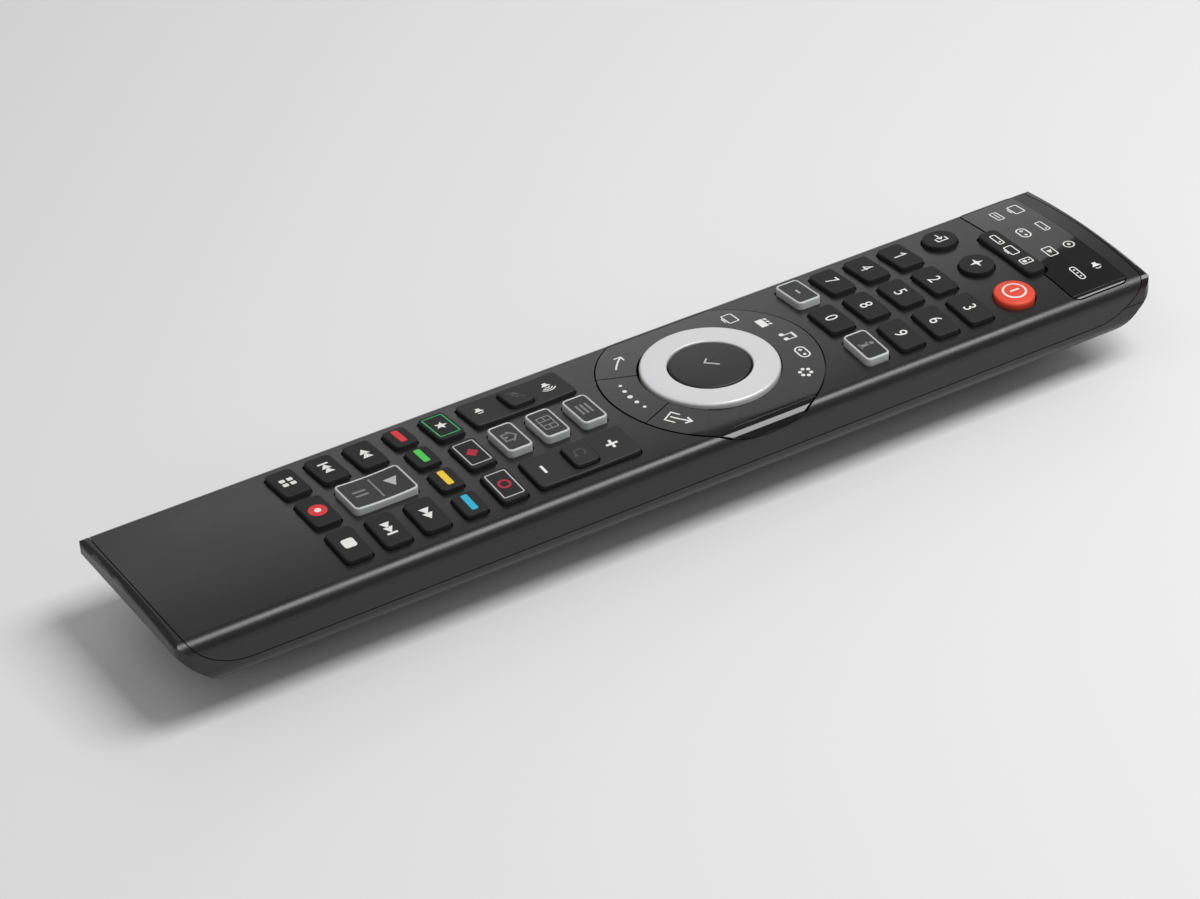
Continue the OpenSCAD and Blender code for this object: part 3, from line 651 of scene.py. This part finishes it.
EMBLEMS = {
    "app_key_left": (star_print, frame_green, white_ink),
    "app_key_middle": (diamond_print, silver_ink, crimson_ink),
    "app_key_right": (hoop_print, silver_ink, crimson_ink),
}
for node, (emblem, line_ink, mark_ink) in EMBLEMS.items():
    cap = Moulding()
    w, l = key_size(node)
    keycap(cap, w, l)
    border = rounded(w - 2 * FRAME_SIDE, l - 2 * FRAME_END, FRAME_CORNER)
    cap.stroke(border, FRAME_LINE, 1, closed=True)
    emblem(cap)
    fit_cap(cap, node, KEY_RISE, [key_silicone, line_ink, mark_ink])
print("emblem keys made:", len(EMBLEMS))

# %% [markdown]
# ## Silver-framed keys
# These keys are hard caps with silver sides. A thin silver border stands round a dark panel that
# carries a grey mark. Border and panel could be two objects, but one stack of rings with two finishes
# has no gap between them.

# %% Silver caps
BORDER, LIP, SUNK = 0.42, 0.06, -0.1
SILVER_EDGE, SILVER_CUTS = 0.3, 12
FRAMED_RISE = 1.5


def silver_cap(shape, w, l, hollow=0.0):
    """Sides and border in one finish, the panel in another; a long cap is hollow along its length."""
    dip = lambda y: -hollow * (1 - (2 * y / l) ** 2)
    steps = [(0.0, FOOT), (0.0, -SILVER_EDGE - SIDE)] + edge_steps(SILVER_EDGE)
    steps += [(BORDER, 0.0), (BORDER + LIP, SUNK)]
    rings = [ring_of(w, l, CORNER, inset, z, SILVER_CUTS) for inset, z in steps]
    bent = [[(x, y, z + dip(y)) for x, y, z in ring] for ring in rings[1:]]
    shape.rings(rings[:1] + bent, cap=False)
    panel = [[(x * share, y, z) for x, y, z in bent[-1]] for share in (1.0, 0.5, 0.0)]
    shape.rings(panel, 1, cap=False)
    shape.lift = lambda x, y: SUNK + dip(y) + PRINT


def dash_sign(s):
    block(s, 0, 0, 1.8, 0.45, 0.1, 2)


def info_sign(s):
    s.disc(0, 1.3, 0.5, 2, 16)
    block(s, 0, -0.45, 0.85, 2.2, 0.1, 2)
    block(s, -0.25, 0.45, 1.1, 0.4, 0.1, 2)
    block(s, 0, -1.4, 1.7, 0.4, 0.1, 2)


def menu_sign(s):
    for y in (-1.05, 0, 1.05):
        block(s, 0, y, 3.6, 0.5, 0.1, 2)


def guide_sign(s):
    s.stroke(rounded(4.4, 2.9, 0.3), 0.35, 2, closed=True)
    for x in (-0.75, 0.75):
        s.stroke([(x, -1.2), (x, 1.2)], 0.3, 2)
    for x0, x1 in ((-1.95, -1.0), (1.0, 1.95)):
        s.stroke([(x0, 0), (x1, 0)], 0.3, 2)


def home_sign(s):
    s.stroke([(-1.7, 0.1), (0, 1.45), (1.7, 0.1)], 0.42, 2)
    s.stroke([(-1.2, 0.1), (-1.2, -1.4), (1.2, -1.4), (1.2, 0.1)], 0.42, 2)
    block(s, 0, -0.85, 0.6, 0.9, 0.05, 2)


SILVER = {
    "dash_key": (dash_sign, silver_ink),
    "info_key": (info_sign, grey_ink),
    "menu_key": (menu_sign, grey_ink),
    "guide_key": (guide_sign, grey_ink),
    "home_key": (home_sign, grey_ink),
}
for node, (sign, mark_ink) in SILVER.items():
    cap = Moulding()
    silver_cap(cap, *key_size(node))
    sign(cap)
    fit_cap(cap, node, FRAMED_RISE, [key_silver, panel_dark, mark_ink], "silver_key")
print("silver-framed keys made:", len(SILVER))

# %% [markdown]
# ## Play and pause rocker
# One long silver cap rocks between two functions. It is the silver cap again, made longer and
# slightly hollow, and a printed line divides its panel.

# %% Long silver cap
PIN, PLAY_HOLLOW = 0.5, 0.3
node = "play_pause_rocker"
_, _, w, l = middle(node)
cap = Moulding()
silver_cap(cap, w - 2 * PIN, l, PLAY_HOLLOW)
cap.stroke([(-3.3, 0), (3.3, 0)], 0.4, 3)
cap.fill([(-1.4, 2.2), (1.5, 3.7), (-1.4, 5.2)], 2)
for x in (-0.7, 0.7):
    cap.stroke([(x, -4.7), (x, -2.3)], 0.6, 3)
finishes = [key_silver, panel_dark, silver_ink, grey_ink]
cap.make("play_pause_cap", key_place(node, FRAMED_RISE), finishes, node, "silver_key", node)
print("long cap:", round(l, 1), "mm")

# %% [markdown]
# ## Volume and channel rockers
# Each rocker is a long soft key with a square well in the middle, where a small key stands. Its top
# is slightly hollow along its length, so that a thumb finds the ends. A Boolean cut would leave long
# faces round the well. Ring by ring, the outer outline changes into the outline of the well instead.

# %% Rockers
VALLEY, SKIRT, ROCKER_CUTS = 0.25, -1.2, 16
WELL_ROOM, WELL_CORNER, WELL_EDGE, WELL_FOOT = 0.25, 0.2, 0.06, -1.6
TOP_SHARES = (0.06, 0.2, 0.35, 0.5, 0.65, 0.8, 0.92, 1.0)


def rocker_cap(node, small):
    """A long soft cap with a hollow top, open in the middle for a small key."""
    _, _, w, l = middle(node)
    _, _, small_w, small_l = middle(small)
    well_size = small_w + 2 * WELL_ROOM, small_l + 2 * WELL_ROOM, CORNER + WELL_CORNER
    dip = lambda y: -VALLEY * max(0.0, 1 - (2 * y / l) ** 2)
    shape = Moulding(lambda x, y: dip(y) + PRINT)
    loops = [ring_of(w - 2 * PIN, l, CORNER, 0.0, z, ROCKER_CUTS) for z in (FOOT, SKIRT)]
    for inset, z in edge_steps(KEY_EDGE):
        ring = ring_of(w - 2 * PIN, l, CORNER, inset, z, ROCKER_CUTS)
        loops.append([(x, y, z + dip(y)) for x, y, z in ring])
    rim, lip = loops[-1], ring_of(*well_size, -WELL_EDGE, 0, ROCKER_CUTS)
    for share in TOP_SHARES:
        flat = [(p[0] + (q[0] - p[0]) * share, p[1] + (q[1] - p[1]) * share) for p, q in zip(rim, lip)]
        loops.append([(x, y, dip(y)) for x, y in flat])
    for z in (-WELL_EDGE, WELL_FOOT):
        loops.append([(x, y, z + dip(y)) for x, y, z in ring_of(*well_size, 0, z, ROCKER_CUTS)])
    shape.rings(loops, cap=False)
    return shape


def speaker(s, x, y, waves):
    body = [(-1.3, -0.45), (-0.75, -0.45), (0.0, -1.1), (0.0, 1.1), (-0.75, 0.45), (-1.3, 0.45)]
    s.fill([(x + px, y + py) for px, py in body], 1)
    for k in range(waves):
        s.stroke(arc(x, y, 0.7 + 0.62 * k, -48, 48, 10), 0.3, 1)


def volume_sign(s):
    speaker(s, -0.3, 7.4, 3)
    speaker(s, 0.0, -8.4, 1)


def channel_sign(s):
    block(s, 0, 7.4, 2.6, 0.6, 0.06)
    block(s, 0, 8.2, 0.6, 1.0, 0.06)
    block(s, 0, 6.6, 0.6, 1.0, 0.06)
    block(s, 0, -8.4, 2.5, 0.6, 0.06)


ROCKERS = {
    "volume_rocker": ("mute_key", volume_sign),
    "channel_rocker": ("recall_key", channel_sign),
}
for node, (small, sign) in ROCKERS.items():
    cap = rocker_cap(node, small)
    sign(cap)
    fit_cap(cap, node, KEY_RISE, [rocker_silicone, white_ink])
print("rockers made:", len(ROCKERS))

# %% [markdown]
# ## Small middle keys
# A small raised key stands in the well of each rocker. It is a plain keycap of its own size, and its
# mark is only a shade lighter than the rubber.

# %% Mute and recall
MID_RISE, MID_CORNER, MID_EDGE = 1.7, 1.1, 0.26


def mute_sign(s):
    speaker(s, 0.1, 0, 1)
    s.stroke([(-1.5, -1.2), (1.6, 1.2)], 0.3, 1)


def recall_sign(s):
    s.stroke(arc(0, 0, 1.1, 30, 300, 20), 0.32, 1)
    s.fill([(0.55, -1.7), (1.25, -0.9), (0.1, -0.75)], 1)


for node, sign in (("mute_key", mute_sign), ("recall_key", recall_sign)):
    _, _, w, l = middle(node)
    cap = Moulding()
    keycap(cap, w, l, MID_CORNER, MID_EDGE)
    sign(cap)
    fit_cap(cap, node, MID_RISE, [rocker_silicone, dim_ink])
print("middle keys made")

# %% [markdown]
# ## Round keys
# Two small round keys and the red power key are low domes. A squashed sphere would have no straight
# side. Rings of points follow the dome from its side over a round edge to the middle.

# %% Domes
DOME_SIDE = 0.4
DOME_SHARES = (0.97, 0.85, 0.65, 0.4, 0.15)
ROUND_RISE, POWER_RISE = KEY_RISE + 0.15, 1.7


def dome(shape, r, edge, rise, steps=64):
    """A straight side, a round edge and a low dome, whose middle is z = 0."""
    flat_r = r - edge
    top = lambda x, y: -rise * (x * x + y * y) / flat_r ** 2
    profile = [(r, FOOT), (r, -rise - edge - DOME_SIDE)]
    profile += [(r - inset, z - rise) for inset, z in edge_steps(edge)]
    profile += [(share * flat_r, top(share * flat_r, 0)) for share in DOME_SHARES]
    shape.rings([[(x, y, z) for x, y in circle(0, 0, q, steps)] for q, z in profile])
    shape.lift = lambda x, y: top(x, y) + PRINT


def input_sign(s):
    s.stroke([(0.1, 1.2), (1.35, 1.2), (1.35, -1.2), (0.1, -1.2)], 0.32, 1)
    s.stroke([(-1.6, 0), (0.5, 0)], 0.32, 1)
    s.stroke([(-0.15, 0.6), (0.55, 0), (-0.15, -0.6)], 0.32, 1)


def spark_sign(s):
    s.fill(star_outline(4, 1.7, 0.5, 0), 1)


def power_sign(s):
    s.stroke(circle(0, 0, 2.4, 48), 0.42, 1, closed=True)
    s.stroke([(0, -0.85), (0, 0.95)], 0.5, 1)


DOMES = {
    "input_key": ((3.78, 0.24, 0.16), ROUND_RISE, key_silicone, input_sign, "key_rubber"),
    "star_key": ((3.78, 0.24, 0.16), ROUND_RISE, key_silicone, spark_sign, "key_rubber"),
    "power_key": ((4.4, 0.6, 0.45), POWER_RISE, power_silicone, power_sign, "power_red"),
}
for node, (form, level, finish, sign, slot) in DOMES.items():
    cap = Moulding()
    dome(cap, *form)
    sign(cap)
    fit_cap(cap, node, level, [finish, white_ink], slot)
print("round keys made:", len(DOMES))

# %% [markdown]
# ## Devices key
# The long key under the device plate is a keycap with wider corners. It carries three small signs: a
# screen, a player and a speaker.

# %% Long key
DEVICES_CORNER, DEVICES_EDGE, DEVICES_LINE = 1.6, 0.5, 0.28
PLAYER_X, SPEAKER_X = -5.2, 5.2


def devices_sign(s):
    s.stroke(rounded(3.4, 1.9, 0.3), DEVICES_LINE, 1, closed=True)
    block(s, 0, -1.3, 1.7, DEVICES_LINE, 0.1)
    s.stroke([(x + PLAYER_X, y) for x, y in rounded(3.8, 1.3, 0.3)], DEVICES_LINE, 1, closed=True)
    s.disc(-4.2, 0, 0.26, 1, 12)
    s.stroke([(x + SPEAKER_X, y) for x, y in rounded(1.9, 2.6, 0.3)], DEVICES_LINE, 1, closed=True)
    s.disc(SPEAKER_X, -0.4, 0.5, 1, 16)
    s.disc(SPEAKER_X, 0.7, 0.25, 1, 12)


cap = Moulding()
keycap(cap, *key_size("devices_key"), DEVICES_CORNER, DEVICES_EDGE)
devices_sign(cap)
fit_cap(cap, "devices_key", KEY_RISE, [key_silicone, white_ink])
print("devices key:", [round(v, 1) for v in key_size("devices_key")])

# %% [markdown]
# ## Ring
# The ring is a turned part with an almost flat top and a rounded edge on both sides. A screw modifier
# could turn its profile. The rings of the moulding helper do the same and need no extra step.

# %% Ring
RING_IN, RING_OUT, RING_RISE, RING_FOOT = 8.85, 14.55, 0.8, -2.0
OUTER_EDGE, OUTER_DROP, OUTER_SIDE = 0.6, 0.1, -1.0
INNER_EDGE, INNER_DROP, INNER_SIDE = 0.35, 0.06, -0.9
TURN_STEPS = 128


def ring_profile():
    """Radius and height from the outer foot over the top to the inner foot."""
    mid = (RING_IN + RING_OUT) / 2
    outer = [(RING_OUT - inset, z - OUTER_DROP) for inset, z in edge_steps(OUTER_EDGE, 8)]
    inner = [(RING_IN + inset, z - INNER_DROP) for inset, z in edge_steps(INNER_EDGE, 6)]
    top = [(mid + 1.2, -0.02), (mid, 0.0), (mid - 1.2, -0.01)]
    outer_side = [(RING_OUT, RING_FOOT), (RING_OUT, OUTER_SIDE)]
    inner_side = [(RING_IN, INNER_SIDE), (RING_IN, RING_FOOT)]
    return outer_side + outer + top + inner[::-1] + inner_side


place = Matrix.Translation((disc_x, disc_y, face_top + RING_RISE))
ring = Moulding()
ring.rings([[(x, y, z) for x, y in circle(0, 0, r, TURN_STEPS)] for r, z in ring_profile()], cap=False)
ring.make("tilting_ring", place, [ring_silver], "nav_ring", "ring_silver", "nav_ring")
print("ring points:", len(ring.points))

# %% [markdown]
# ## Middle key
# The key inside the ring is a wide, low dome of hard plastic, so the dome of the round keys serves
# again, with more points round its edge. Its mark is a check mark.

# %% Middle key
OK_RISE = 1.25
OK_R, OK_EDGE, OK_DOME = 8.5, 0.4, 0.5
ok = Moulding()
dome(ok, OK_R, OK_EDGE, OK_DOME, TURN_STEPS)
ok.stroke([(-1.5, 0.1), (-0.45, -1.0), (1.6, 1.2)], 0.42, 1)
place = Matrix.Translation((disc_x, disc_y, face_top + OK_RISE))
ok.make("ok_cap", place, [ok_plastic, silver_ink], "ok_key", "ok_grey", "ok_key")
print("middle key points:", len(ok.points))

# %% [markdown]
# ## Marks on the disc
# Small white signs lie in an arc on the disc. They all stand upright, so a helper only moves each to
# its place. Their points take their height from the crowned face, so the film follows the surface.

# %% Small signs


class Moved:
    """Draws signs into a moulding, with their middle at x, y."""

    def __init__(self, shape, x, y):
        self.shape, self.middle = shape, Vector((x, y))

    def at(self, points):
        return [tuple(Vector(point) + self.middle) for point in points]

    def fill(self, outline, tone=0):
        self.shape.fill(self.at(outline), tone)

    def stroke(self, line, width, closed=False):
        self.shape.stroke(self.at(line), width, 0, closed)

    def disc(self, x, y, r, steps=16):
        self.shape.fill(self.at(circle(x, y, r, steps)))


def screen_icon(s):
    s.stroke(rounded(3.6, 2.3, 0.3), 0.3, closed=True)
    block(s, 0, -1.6, 1.8, 0.3, 0.1, 0)


def film_icon(s):
    s.fill(rounded(3.2, 1.7, 0.2))
    for x in (-1.1, 0.0, 1.1):
        s.fill([(x - 0.42, 1.1), (x + 0.18, 1.1), (x + 0.48, 1.75), (x - 0.12, 1.75)])


def notes_icon(s):
    for x in (-1.0, 0.9):
        s.disc(x, -1.0, 0.55)
        s.stroke([(x + 0.42, -0.9), (x + 0.42, 1.2)], 0.25)
    s.stroke([(-0.58, 1.2), (1.32, 1.2)], 0.5)


def pad_icon(s):
    s.stroke(rounded(3.8, 2.2, 1.05, 6), 0.32, closed=True)
    block(s, -0.85, 0, 0.9, 0.3, 0.05, 0)
    block(s, -0.85, 0, 0.3, 0.9, 0.05, 0)
    s.disc(0.9, 0, 0.35)


def dots_icon(s):
    for angle in range(0, 360, 60):
        s.disc(*point_at(1.15, angle), 0.42)


print("icon helpers ready")

# %% Signs on the disc
DISC_SEEN, DISC_SIGN_R = 0.1, 19.6
DISC_SIGNS = {135: screen_icon, 114: film_icon, 92: notes_icon, 72: pad_icon, 51: dots_icon}


def on_disc(r, angle):
    """A point of the disc, at an angle in degrees."""
    return point_at(r, angle, disc_x, disc_y)


def disc_print():
    """An empty moulding for a film on the disc's skin."""
    return Moulding(lambda x, y: face_z(x, DISC_SEEN) + PRINT)


panel_marks = disc_print()
for angle, icon in DISC_SIGNS.items():
    icon(Moved(panel_marks, *on_disc(DISC_SIGN_R, angle)))
panel_marks.make("disc_signs", Matrix(), [white_ink], "case", "gloss_black")
print("disc signs:", len(panel_marks.faces), "faces")

# %% [markdown]
# ## Marks on the segments
# The three segment keys move, so their signs are pieces of their own that ride on them. Their strokes
# are bent to the round of the disc: a way back, a row of dots and a way out.

# %% Signs on the segments
SEGMENT_R, SEGMENT_LINE, DOOR_LINE = 19.2, 0.38, 0.34
ARC_STEPS = 24


def curve_on_disc(r, a0, a1):
    return arc(disc_x, disc_y, r, a0, a1, ARC_STEPS)


def back_marks(s):
    s.stroke(curve_on_disc(SEGMENT_R, -139, -124), SEGMENT_LINE)
    head = [on_disc(20.2, -136.2), on_disc(SEGMENT_R, -139.4), on_disc(18.2, -136.2)]
    s.stroke(head, SEGMENT_LINE)


def activity_marks(s):
    for k in range(5):
        s.disc(*on_disc(SEGMENT_R, -104 + 7 * k), 0.58 - 0.1 * abs(k - 2), 0, 20)


def exit_marks(s):
    s.stroke(curve_on_disc(SEGMENT_R, -57, -44), SEGMENT_LINE)
    head = [on_disc(20.1, -46.8), on_disc(SEGMENT_R, -43.6), on_disc(18.3, -46.8)]
    s.stroke(head, SEGMENT_LINE)
    s.stroke(curve_on_disc(20.6, -59, -53)[::-1] + curve_on_disc(17.8, -59, -53), DOOR_LINE)


SEGMENTS = {"back_key": back_marks, "activity_key": activity_marks, "exit_key": exit_marks}
for node, sign in SEGMENTS.items():
    marks = disc_print()
    sign(marks)
    marks.make(node + "_signs", Matrix(), [white_ink], node, "gloss_black")
print("segment signs made:", len(SEGMENTS))

# %% [markdown]
# ## Marks on the device plate
# Two rows of four signs stand for the devices that the remote can work. The plate doesn't move, so
# one film on the case carries them all.

# %% Signs on the device plate
PLATE_RISE, PLATE_LINE = 0.15, 0.26


def box_icon(s):
    s.stroke(rounded(3.8, 1.4, 0.25), PLATE_LINE, closed=True)
    s.disc(1.2, 0, 0.24, 10)


def record_icon(s):
    s.stroke(circle(0, 0, 1.15, 28), 0.28, closed=True)
    s.disc(0, 0, 0.38)


def cone_icon(s):
    s.fill([(-1.3, -0.45), (-0.7, -0.45), (0.1, -1.1), (0.1, 1.1), (-0.7, 0.45), (-1.3, 0.45)])
    s.stroke(arc(0.1, 0, 0.8, -50, 50, 8), 0.28)


def slot_icon(s):
    s.stroke(rounded(3.6, 1.6, 0.25), PLATE_LINE, closed=True)
    s.stroke([(-1.1, 0), (1.1, 0)], PLATE_LINE)


def show_icon(s):
    s.stroke(rounded(3.4, 2.2, 0.3), PLATE_LINE, closed=True)
    s.fill([(-0.5, -0.65), (0.7, 0), (-0.5, 0.65)])


def bar_icon(s):
    s.stroke(rounded(4.6, 1.3, 0.6, 5), PLATE_LINE, closed=True)
    for x in (-1.2, 0, 1.2):
        s.disc(x, 0, 0.24, 10)


_, plate_y, _, _ = middle("device_plate")
PLATE_COLUMNS = (-15.0, -5.4, 3.9, 13.6)
PLATE_ROWS = {
    plate_y + 4.1: (screen_icon, box_icon, record_icon, cone_icon),
    plate_y - 0.9: (slot_icon, pad_icon, show_icon, bar_icon),
}
plate_marks = Moulding(lambda x, y: face_z(x, PLATE_RISE) + PRINT)
for y, row in PLATE_ROWS.items():
    for x, icon in zip(PLATE_COLUMNS, row):
        icon(Moved(plate_marks, x, y))
plate_marks.make("plate_signs", Matrix(), [white_ink], "case", "gloss_black")
print("plate signs:", len(plate_marks.faces), "faces")

# %% [markdown]
# ## Setting the disc and the plate
# The polished pieces are copied from the CAD frame, because their curved skins are right there. Some
# points of the copies move by a hair. The disc and its segments are drawn in and set down, so that the
# groove round them shows as a dark line from every side. The two seams between the outer segments and
# the disc are closed almost wholly, because the real panel shows no line there. The near edge of the
# plate turns down a little more than the case, and so it reflects a lamp.

# %% Small moves
DISC_R, DISC_RISE, GROOVE, SKIN_DEPTH = 23.5, 0.25, 0.1, 1.5
SEAM_TURN, SEAM_NEAR, SEAM_CLOSED = math.radians(56), 0.2, 0.11
ROLL_CUTS, ROLL_FALL, UPWARD = (20.2, 20.4, 20.6, 20.75), 0.21, 0.5


def past_outer_seam(point):
    """Distance past the outer seam of a segment, or None for a point that is not near the seam."""
    x, y, _ = point / MM
    across, along = abs(x - disc_x), disc_y - y
    past = across * math.cos(SEAM_TURN) - along * math.sin(SEAM_TURN)
    out = across * math.sin(SEAM_TURN) + along * math.cos(SEAM_TURN)
    return past if abs(past) < SEAM_NEAR and out > RING_IN else None


def settle(point):
    """Draws a point of the disc in towards its middle, and sets the upper skin down by a hair."""
    x, y, z = point / MM
    past = past_outer_seam(point)
    if past and past < -SEAM_CLOSED:
        x += math.copysign(math.cos(SEAM_TURN), x) * SEAM_CLOSED
        y += math.sin(SEAM_TURN) * SEAM_CLOSED
    skin = min(1.0, max(0.0, SKIN_DEPTH - (face_z(x, DISC_RISE) - z)))
    draw = 1 - GROOVE / DISC_R
    low_z = z - skin * (DISC_RISE - DISC_SEEN)
    return Vector((disc_x + (x - disc_x) * draw, disc_y + (y - disc_y) * draw, low_z)) * MM


def roll_near_edge(work):
    """Turns the near edge of the plate down, over a few extra rows of points."""
    for x in ROLL_CUTS:
        parts = list(work.verts) + list(work.edges) + list(work.faces)
        bmesh.ops.bisect_plane(work, geom=parts, plane_co=(x * MM, 0, 0), plane_no=(1, 0, 0))
    work.normal_update()
    for corner in work.verts:
        past = corner.co.x / MM - ROLL_CUTS[0]
        if past > 0 and any(face.normal.z > UPWARD for face in corner.link_faces):
            corner.co.z -= ROLL_FALL * past ** 2 * MM
    work.normal_update()


print("small moves ready")

# %% [markdown]
# ## Polished covers
# CAD edges are perfectly sharp, but a moulded edge is always broken a little, and that narrow rounding
# is what catches the light. A bevel modifier rounds off the sharp edges of each copy. Weights tell it
# which edges, so that the closed seams stay tight.

# %% Broken edges
BROKEN, BEVEL_STEPS = 0.14, 3
SAME_POINT, FLAT_ANGLE, KEEN_ANGLE = 0.001, math.radians(0.2), math.radians(40)


def weigh_edges(work, on_disc_face):
    """Marks the sharp edges for the bevel, and keeps those at a closed seam as they are."""
    weight = work.edges.layers.float.new("bevel_weight_edge")
    for edge in work.edges:
        keen = len(edge.link_faces) == 2 and edge.calc_face_angle() > KEEN_ANGLE
        closed = on_disc_face and all(past_outer_seam(end.co) is not None for end in edge.verts)
        edge[weight] = 1.0 if keen and not closed else 0.0
        edge.smooth = not (keen and closed)


def cover_mesh(node, on_disc_face):
    """A copy of a CAD mesh, set in its place, cleaned and ready for the bevel."""
    mesh = nodes[node].data.copy()
    work = bmesh.new()
    work.from_mesh(mesh)
    if on_disc_face:
        for corner in work.verts:
            corner.co = settle(corner.co)
    bmesh.ops.remove_doubles(work, verts=work.verts, dist=SAME_POINT * MM)
    bmesh.ops.dissolve_limit(work, angle_limit=FLAT_ANGLE, verts=work.verts, edges=work.edges)
    if not on_disc_face:
        roll_near_edge(work)
    weigh_edges(work, on_disc_face)
    work.to_mesh(mesh)
    work.free()
    mesh.materials.clear()
    mesh.materials.append(gloss_black)
    mesh.polygons.foreach_set("use_smooth", [True] * len(mesh.polygons))
    return mesh


def polished_cover(node, body, on_disc_face):
    """A polished piece with broken edges, in the place of its CAD node."""
    mesh = cover_mesh(node, on_disc_face)
    piece = bpy.data.objects.new(node + "_cover", mesh)
    bpy.context.scene.collection.objects.link(piece)
    bevel = piece.modifiers.new("broken_edge", "BEVEL")
    bevel.width, bevel.segments = BROKEN * MM, BEVEL_STEPS
    bevel.limit_method = "WEIGHT"
    even_normals(piece)
    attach(piece, body)
    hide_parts(node)
    print(node, "cover:", len(mesh.polygons), "faces")


polished_cover("device_plate", "case", False)
polished_cover("activity_panel", "case", True)
for node in SEGMENTS:
    polished_cover(node, node, True)

# %% [markdown]
# ## Finishes for the CAD pieces
# The shells, the battery door, the infrared window and the inner parts keep their CAD shape and mesh.
# Each only gets the finish of the real piece.

# %% Dress the CAD nodes
DRESS = {
    case_satin: ["top_case", "bottom_case", "battery_door"],
    window_tint: ["ir_window"],
    mat_rubber: ["key_mat"],
    board_mask: ["circuit_board"],
    chip_epoxy: ["board_parts", "nav_carrier"],
    lamp_resin: ["ir_lamps"],
    cell_film: ["left_cell", "right_cell"],
    steel: ["battery_contacts", "case_screws"],
}
for finish, dressed in DRESS.items():
    for node in dressed:
        nodes[node].data.materials.clear()
        nodes[node].data.materials.append(finish)
print("dressed:", sum(len(v) for v in DRESS.values()))

# %% [markdown]
# ## Table
# The table is one wide pale sheet, so its far edge stays out of the picture. A very wide noise keeps
# its tone from being quite flat.

# %% Table
TABLE_HALF, TINT_SIZE = 3.0, 400.0
corners = [(-TABLE_HALF, -TABLE_HALF, 0), (TABLE_HALF, -TABLE_HALF, 0)]
corners += [(TABLE_HALF, TABLE_HALF, 0), (-TABLE_HALF, TABLE_HALF, 0)]
floor_mesh = bpy.data.meshes.new("table")
floor_mesh.from_pydata(corners, [], [[0, 1, 2, 3]])
table = bpy.data.objects.new("table", floor_mesh)
bpy.context.scene.collection.objects.link(table)
material, shader, start, place = new_finish("table_white")
tint = start.noise(place, TINT_SIZE, 2.0)
feed(shader, Base_Color=start.mix(tint, (0.76, 0.76, 0.77), (0.80, 0.80, 0.80)), Roughness=0.55)
floor_mesh.materials.append(material)
print("table made")

# %% [markdown]
# ## Light
# Black things show what they reflect more than what falls on them. A wide panel behind the body shows
# as a soft grey sheen on the face and the polished disc. A lamp high above the near side draws the
# bright line along the rounded edge. Two soft lamps and the world fill the shadows.

# %% Lamps and world
WORLD_TINT, WORLD_LEVEL = (0.92, 0.92, 0.93, 1.0), 0.27
LAMPS = {
    "overhead": ((-0.15, -0.45, 0.95), (0, 0, 0), (0.8, 0.6), 0.8),
    "back_panel": ((-1.307, 0.695, 0.837), (0, 0, 0), (0.7, 0.93), 1.7),
    "front_fill": ((1.0, -0.7, 0.7), (0, 0, 0), (0.8, 0.8), 2.0),
    "edge_strip": ((0.24, 0.4, 0.8), (0, 0.4, 0), (0.7, 0.4), 7.2),
}
for name, (at, towards, size, power) in LAMPS.items():
    data = bpy.data.lights.new(name, "AREA")
    data.shape, data.energy = "RECTANGLE", power
    data.size, data.size_y = size
    made = bpy.data.objects.new(name, data)
    made.location = at
    made.rotation_euler = (Vector(towards) - Vector(at)).to_track_quat("-Z", "Y").to_euler()
    bpy.context.scene.collection.objects.link(made)
world = bpy.data.worlds.new("studio")
bpy.context.scene.world = world
world.use_nodes = True
back = world.node_tree.nodes["Background"]
back.inputs["Color"].default_value = WORLD_TINT
back.inputs["Strength"].default_value = WORLD_LEVEL
bpy.context.scene.view_settings.view_transform = "Standard"
print("lamps made:", len(LAMPS))

# %% [markdown]
# ## Camera
# The camera stands at the viewpoint of the photograph, with the same long lens. It could be aimed at
# a point, but then its slight roll would be lost, so its axes are written down as they were measured.

# %% Camera
EYE = (596.36, -351.27, 476.26)
RIGHT = (0.5228, 0.8514, -0.0431)
AHEAD = (-0.7183, 0.4127, -0.5601)
SENSOR, FOCAL = 36.0, 122.85
NEAREST = 0.01
eye = Vector(EYE) * MM
right, ahead = Vector(RIGHT).normalized(), Vector(AHEAD).normalized()
up = right.cross(ahead).normalized()
lens = bpy.data.cameras.new("camera")
lens.sensor_width, lens.lens, lens.clip_start = SENSOR, FOCAL, NEAREST
camera = bpy.data.objects.new("camera", lens)
camera.matrix_world = Matrix((right, up, -ahead)).transposed().to_4x4()
camera.location = eye
bpy.context.scene.collection.objects.link(camera)
bpy.context.scene.camera = camera
print("camera distance:", round(eye.length, 3))
